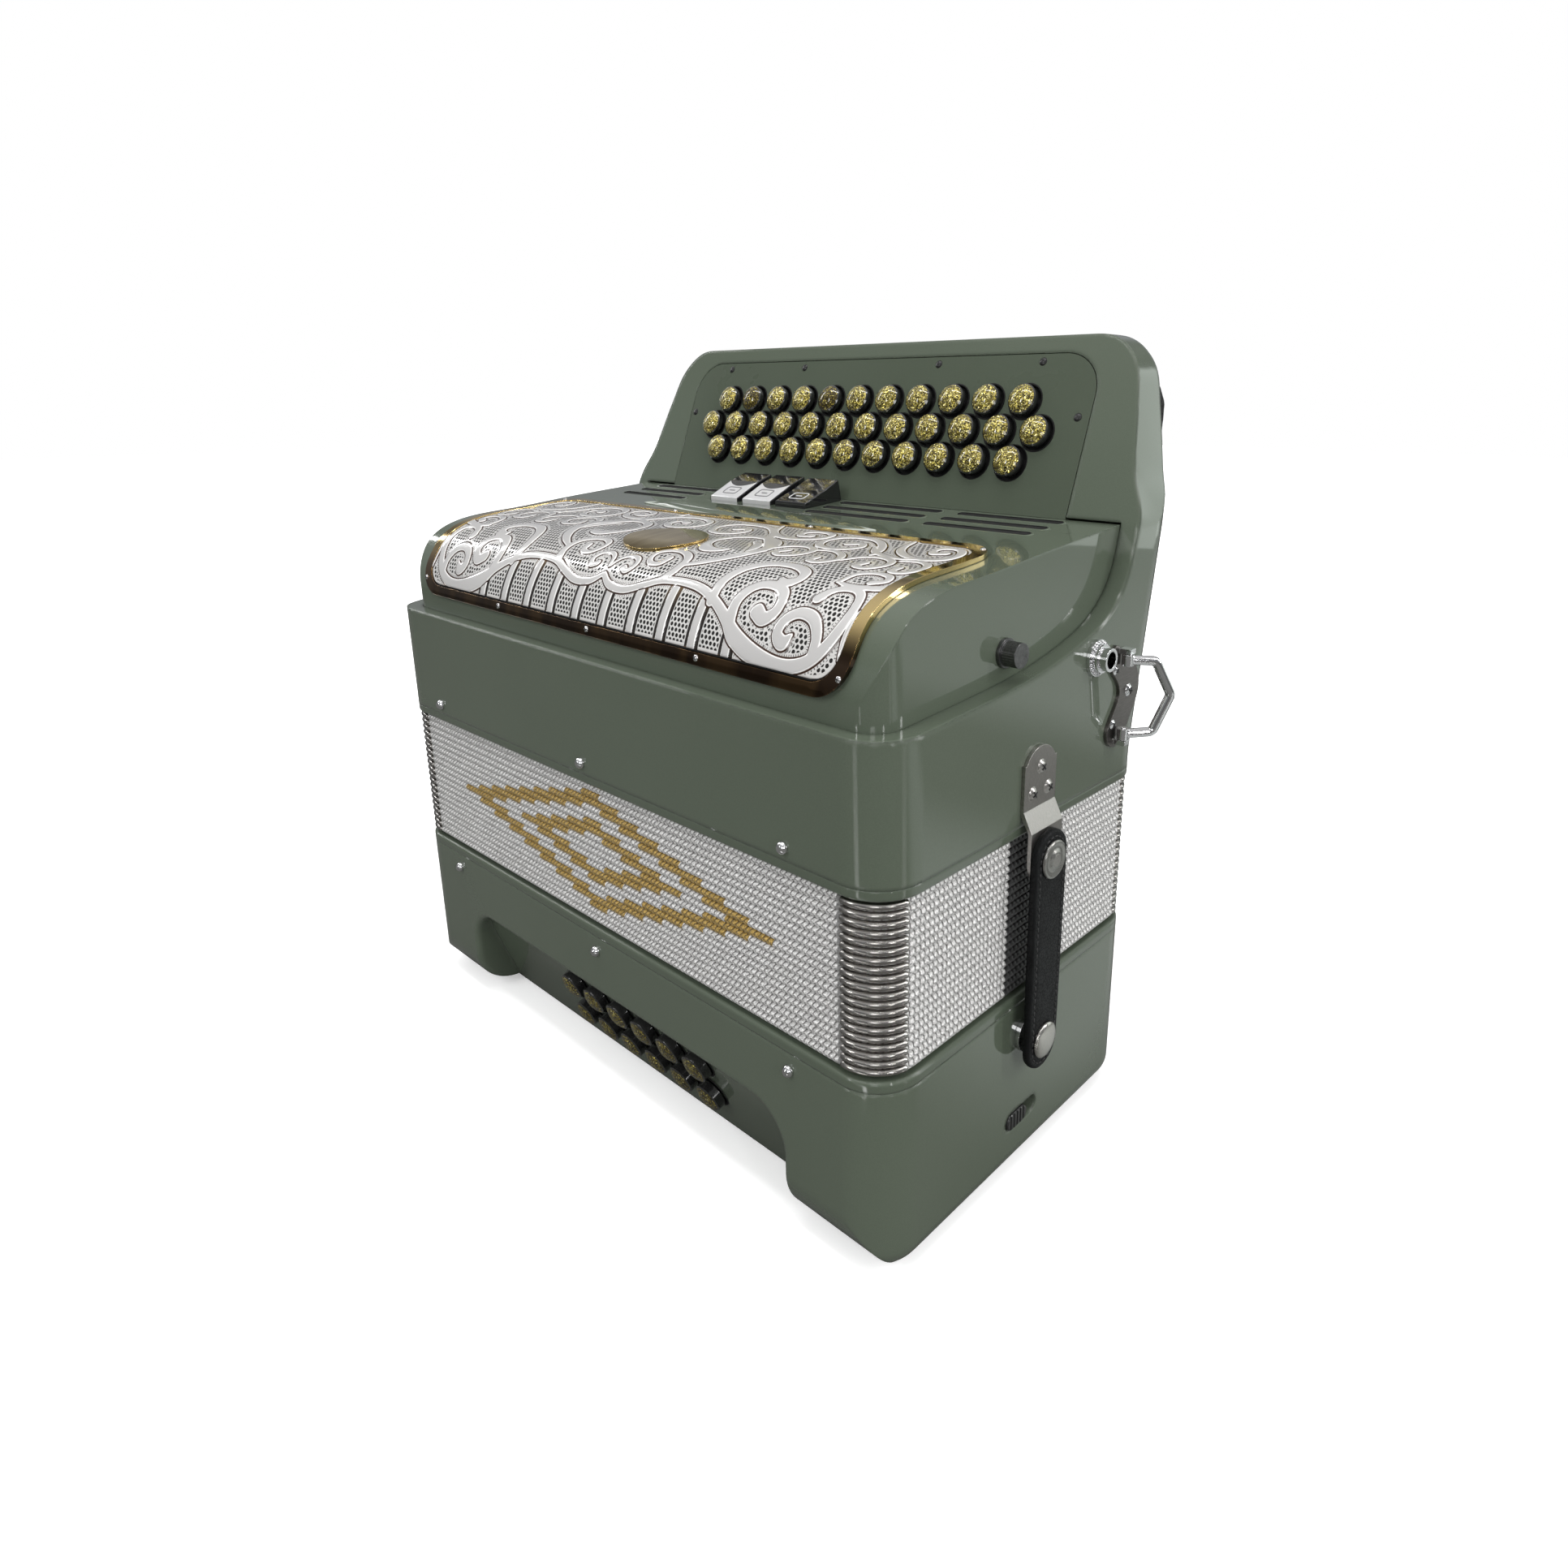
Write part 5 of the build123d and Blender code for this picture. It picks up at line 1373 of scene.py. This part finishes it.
def build_register_marks():
    """A rounded frame with a short bar inside it, on each slope."""
    middle, lift = 6.3, 0.06
    frame_outline = [point for arc in corner_arcs(4.7, 2.8, 1.3, 6) for point in arc]
    for k, (centre_x, (start, end, material)) in enumerate(zip(REGISTER_X, ROCKER_SLOPES), 1):
        start = np.array(start)
        slope = unit(np.array(end) - start)
        normal = np.array((-slope[1], slope[0]))

        def on_slope(x, along):
            return (centre_x + x, *(start + slope * (middle + along) + normal * lift))

        parts = Parts()
        parts.add(*sweep([on_slope(*point) for point in frame_outline],
                         rectangle(0.24, 0.1), closed=True, up=(0, *normal)))
        parts.add(*sweep([on_slope(x, 0) for x in (-1.8, 1.8)], rectangle(0.3, 0.1),
                         up=(0, *normal)))
        obj = parts.build("register_mark_%d" % k, [material], False)
        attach(obj, "register_%d" % k)


build_register_marks()


# ------------------------------------------------------------------ materials on the CAD nodes
def fittings():
    """One node, told apart by place: dark ring plates, brushed brackets, bright pins and
    eyelet, black board screws."""
    mat = Shader("fittings")
    x, y, z = mat.separate()
    board = mat.above(z, 0.225)
    ring_plate = mat.mul(mat.above(y, 0.0443), mat.below(mat.absolute(x), 0.15895),
                         mat.above(mat.absolute(x), 0.1570))
    bracket = mat.mul(mat.above(mat.absolute(x), 0.1570), mat.below(mat.absolute(y), 0.013))
    plate_marks = mat.noise(1.0, detail=4.0, rough=0.6, stretch=(400, 400, 9000))
    marks = mat.noise(1.0, detail=4.0, rough=0.6, stretch=(400, 9000, 900))
    steel = mat.mottle(marks, (0.34, 0.33, 0.31), (0.50, 0.48, 0.46))
    dark = mat.mottle(plate_marks, (0.13, 0.12, 0.115), (0.22, 0.205, 0.195))
    colour, roughness = (0.75, 0.75, 0.76), grey(0.09)
    for place, place_colour, rough in ((bracket, steel, 0.30), (ring_plate, dark, 0.30),
                                       (board, grey(0.012), 0.32)):
        colour = mat.mix(place, colour, place_colour)
        roughness = mat.mix(place, roughness, grey(rough))
    level = mat.new("RGBToBW")
    mat.put(level.inputs[0], roughness)
    return mat.set(Base_Color=colour, Metallic=mat.invert(board), Roughness=level.outputs[0],
                   Normal=mat.bump(marks, distance=0.00001, strength=0.5,
                                   normal=mat.bevel(0.0004)))


ROCKER_BLACK = (0.010, 0.010, 0.011)


def rocker_marks(mat):
    return mat.noise(1.0, detail=4.0, rough=0.6, stretch=(9000, 300, 300))


def rocker_black(name):
    mat = Shader(name)
    return mat.set(Base_Color=ROCKER_BLACK, Roughness=0.12, Coat_Weight=1.0,
                   Coat_Roughness=0.03,
                   Normal=mat.bump(rocker_marks(mat), distance=0.000002, strength=0.4,
                                   normal=mat.bevel(0.0006)))


def rocker_silver(name, centre_x):
    """Silver scoop in front whose back edge dips between its corners; the rest is black."""
    mat = Shader(name)
    x, y, _ = mat.separate()
    marks = rocker_marks(mat)
    silver = mat.mottle(marks, (0.74, 0.74, 0.75), (0.90, 0.90, 0.91))
    half_width, back_y, dip = 0.010, 0.0526, 0.0042
    across = mat.div(mat.sub(x, centre_x / 1000), half_width)
    edge = mat.sub(back_y, mat.mul(mat.invert(mat.square(across)), dip))
    black = mat.larger(mat.step(mat.sub(y, edge), -0.0001, 0.0001),
                       mat.step(mat.absolute(across), 0.955, 0.975))
    return mat.set(Base_Color=mat.mix(black, silver, ROCKER_BLACK),
                   Metallic=mat.mul(mat.invert(black), 0.55),
                   Roughness=mat.spread(marks, 0.14, 0.24), Coat_Weight=black,
                   Coat_Roughness=0.03,
                   Normal=mat.bump(marks, distance=0.000003, strength=0.4,
                                   normal=mat.bevel(0.0006)))


PAINT = {
    "treble_casing": GREEN,
    "bass_casing": GREEN,
    "treble_cover": COVER_GREEN,
    "treble_bellows_frame": FRAME_GREEN,
    "bass_bellows_frame": FRAME_GREEN,
    "button_board": BOARD_LACQUER,
    "grille_plate": FELT_AND_SHADE,
    "grille_trim": TRIM_GOLD,
    "treble_action_board": WOOD,
    "treble_reed_blocks": WOOD,
    "bass_reed_blocks": WOOD,
    "bass_buttons_row_1": BASS_KEY,
    "bass_buttons_row_2": BASS_KEY,
    "cover_thumbscrew": KNOB_STEEL,
    "strap_ring": CHROME,
    "treble_fittings": fittings(),
    "bass_fittings": CHROME,
    "air_lever": BLACK,
    "rubber_feet": RUBBER,
    "register_rocker_1": rocker_silver("rocker_silver", REGISTER_X[0]),
    "register_rocker_2": rocker_silver("rocker_silver_b", REGISTER_X[1]),
    "register_rocker_3": rocker_black("rocker_black"),
}
for number in range(1, 35):
    PAINT["treble_key_%02d" % number] = KEY_DARK if number in (2, 5) else KEY
for node_name, paint in PAINT.items():
    slots = nodes[node_name].data.materials
    slots.clear()
    slots.append(paint)


# ------------------------------------------------------------------ floor
def floor_pale():
    """White to the camera, with its own grey glow, and in reflections painted pools of light and bright
    glowing cards.
    """
    mat = Shader("floor_pale")
    x, y, _ = mat.separate()
    far = mat.step(mat.hypot(x, y), 0.25, 0.8)
    rays = mat.new("LightPath").outputs
    camera, glossy = rays["Is Camera Ray"], rays["Is Glossy Ray"]

    # paler patches to the right: painted pools of light, seen only in reflections
    near_light_pool = mat.mul(mat.step(y, -0.02, 0.08), mat.invert(mat.step(y, 0.18, 0.30)))
    far_light_pool = mat.step(y, 0.40, 0.56)
    light_pools = mat.mul(mat.larger(near_light_pool, far_light_pool), mat.step(x, 0.14, 0.19))
    reflected = mat.mix(light_pools, (0.12, 0.12, 0.115), (0.42, 0.44, 0.43))

    # narrow glowing cards painted on the floor, one running forwards and one to the right, seen only in
    # reflections as crisp lines in the rounded corners
    from_front = mat.absolute(mat.sub(x, mat.add(0.203, mat.mul(y, 0.19))))
    front_card = mat.mul(mat.below(from_front, 0.007),
                         mat.mul(mat.below(y, -0.17), mat.above(y, -1.1)))
    from_right = mat.absolute(mat.sub(y, -0.045))
    right_card = mat.mul(mat.below(from_right, 0.006),
                         mat.mul(mat.above(x, 0.26), mat.below(x, 1.1)))
    cards = mat.mul(glossy, mat.add(mat.mul(front_card, 5.0), mat.mul(right_card, 2.5)))

    seen = mat.mottle(mat.noise(3.0), grey(0.90), grey(0.92))
    colour = mat.mix(camera, mat.mix(glossy, grey(0.30), reflected), seen)
    backdrop = mat.mul(mat.map_range(far, 0, 1, 0.34, 1.0), camera)
    return mat.set(Base_Color=colour, Roughness=0.75, Specular_IOR_Level=0.0,
                   Emission_Color=(1, 1, 1), Emission_Strength=mat.add(backdrop, cards))


REACH, FLOOR_Z = 6000, -0.2
floor = add_mesh("floor", [(-REACH, -REACH, FLOOR_Z), (REACH, -REACH, FLOOR_Z),
                           (REACH, REACH, FLOOR_Z), (-REACH, REACH, FLOOR_Z)],
                 [(0, 1, 2, 3)], [floor_pale()], False)


# ------------------------------------------------------------------ world
def build_world():
    """White to the camera; separate vertical gradients for diffuse and glossy rays."""
    world = bpy.data.worlds.new("studio")
    scene.world = world
    world.use_nodes = True
    sky = Nodes(world.node_tree)

    def background(colour, strength):
        node = sky.new("Background")
        sky.put(node.inputs[0], colour)
        sky.put(node.inputs[1], strength)
        return node.outputs[0]

    rays = sky.new("LightPath").outputs
    height = sky.map_range(sky.separate("Generated")[2], -1, 1)
    diffuse = sky.ramp(height, (
        (0.0, grey(0.30)), (1.0, grey(1.0)), (0.45, grey(0.34)), (0.6, grey(0.5)),
        (0.8, grey(0.85))))
    glossy = sky.ramp(height, (
        (0.0, (0.16, 0.15, 0.14)), (1.0, grey(0.75)), (0.46, (0.10, 0.095, 0.09)),
        (0.52, grey(0.14)), (0.66, (0.30, 0.31, 0.33)), (0.72, grey(0.12)), (0.84, grey(0.5))))
    lit = sky.mix_shader(rays["Is Glossy Ray"], background(diffuse, 0.66),
                         background(glossy, 1.0))
    surface = sky.mix_shader(rays["Is Camera Ray"], lit, background(grey(1), 1.0))
    sky.put(sky.new("OutputWorld").inputs[0], surface)


build_world()


# ------------------------------------------------------------------ lights (metres)
def area(name, at, aim, size, watts, glossy=True, diffuse=True, colour=(1, 1, 1)):
    light = bpy.data.lights.new(name, "AREA")
    light.shape = "RECTANGLE"
    light.size, light.size_y = size
    light.energy, light.color = watts, colour
    obj = bpy.data.objects.new(name, light)
    obj.location = at
    obj.rotation_euler = (Vector(aim) - Vector(at)).to_track_quat("-Z", "Y").to_euler()
    scene.collection.objects.link(obj)
    obj.visible_camera = False
    obj.visible_glossy = glossy
    obj.visible_diffuse = diffuse


area("key_soft", at=(-0.4, -1.5, 1.5), aim=(0, 0, 0.16), size=(0.9, 0.7), watts=10.5,
     glossy=False)
area("right_soft", at=(1.7, -0.2, 0.9), aim=(0.1, 0, 0.16), size=(0.5, 1.2), watts=11,
     glossy=False)
area("top_soft", at=(0.0, 0.1, 1.8), aim=(0, 0, 0.2), size=(1.2, 0.6), watts=9.5, glossy=False)
area("corner_box", at=(0.80, -1.05, 0.60), aim=(0.14, -0.07, 0.12), size=(0.30, 0.42), watts=2.2)
area("strip_front", at=(-0.30, -1.25, 0.75), aim=(0.1, 0, 0.2), size=(0.07, 0.42), watts=2.4)
area("strip_right", at=(1.35, -0.55, 0.62), aim=(0.15, 0, 0.2), size=(0.06, 0.5), watts=2.4)
area("strip_top", at=(0.0, -0.35, 1.5), aim=(0, 0, 0.2), size=(1.0, 0.10), watts=4.0)
area("strip_back", at=(1.2, 0.8, 0.9), aim=(0.1, 0.05, 0.25), size=(0.14, 0.9), watts=7.0)
area("edge_panel", at=(1.25, 0.30, 1.45), aim=(0.15, 0.08, 0.3), size=(0.8, 0.35), watts=3.4,
     diffuse=False)
area("column_panel", at=(0.85, 1.55, 0.45), aim=(0.157, 0.09, 0.27), size=(0.8, 0.95), watts=2.9,
     diffuse=False, colour=(0.92, 1.0, 0.94))
area("strip_left", at=(-1.3, -0.2, 0.9), aim=(0, 0, 0.2), size=(0.10, 0.7), watts=2.5)

# ------------------------------------------------------------------ camera (metres)
CAMERA_AT = (0.33084560, -0.28198343, 0.29116507)
CAMERA_AXES = Matrix(((0.7513052, -0.17628087, 0.63597607),
                      (0.65995212, 0.19787168, -0.72478272),
                      (0.00192368, 0.96424678, 0.26499896)))
lens = bpy.data.cameras.new("cam")
lens.lens, lens.sensor_width, lens.sensor_fit = 22.79985, 36.0, "HORIZONTAL"
lens.shift_x, lens.shift_y = -0.0603877, -0.0716369
lens.clip_start, lens.clip_end = 0.02, 50
camera = bpy.data.objects.new("cam", lens)
camera.matrix_world = Matrix.Translation(CAMERA_AT) @ CAMERA_AXES.to_4x4()
scene.collection.objects.link(camera)
scene.camera = camera
scene.view_settings.view_transform = "Standard"
scene.view_settings.look = "None"
scene.view_settings.exposure = 0.0
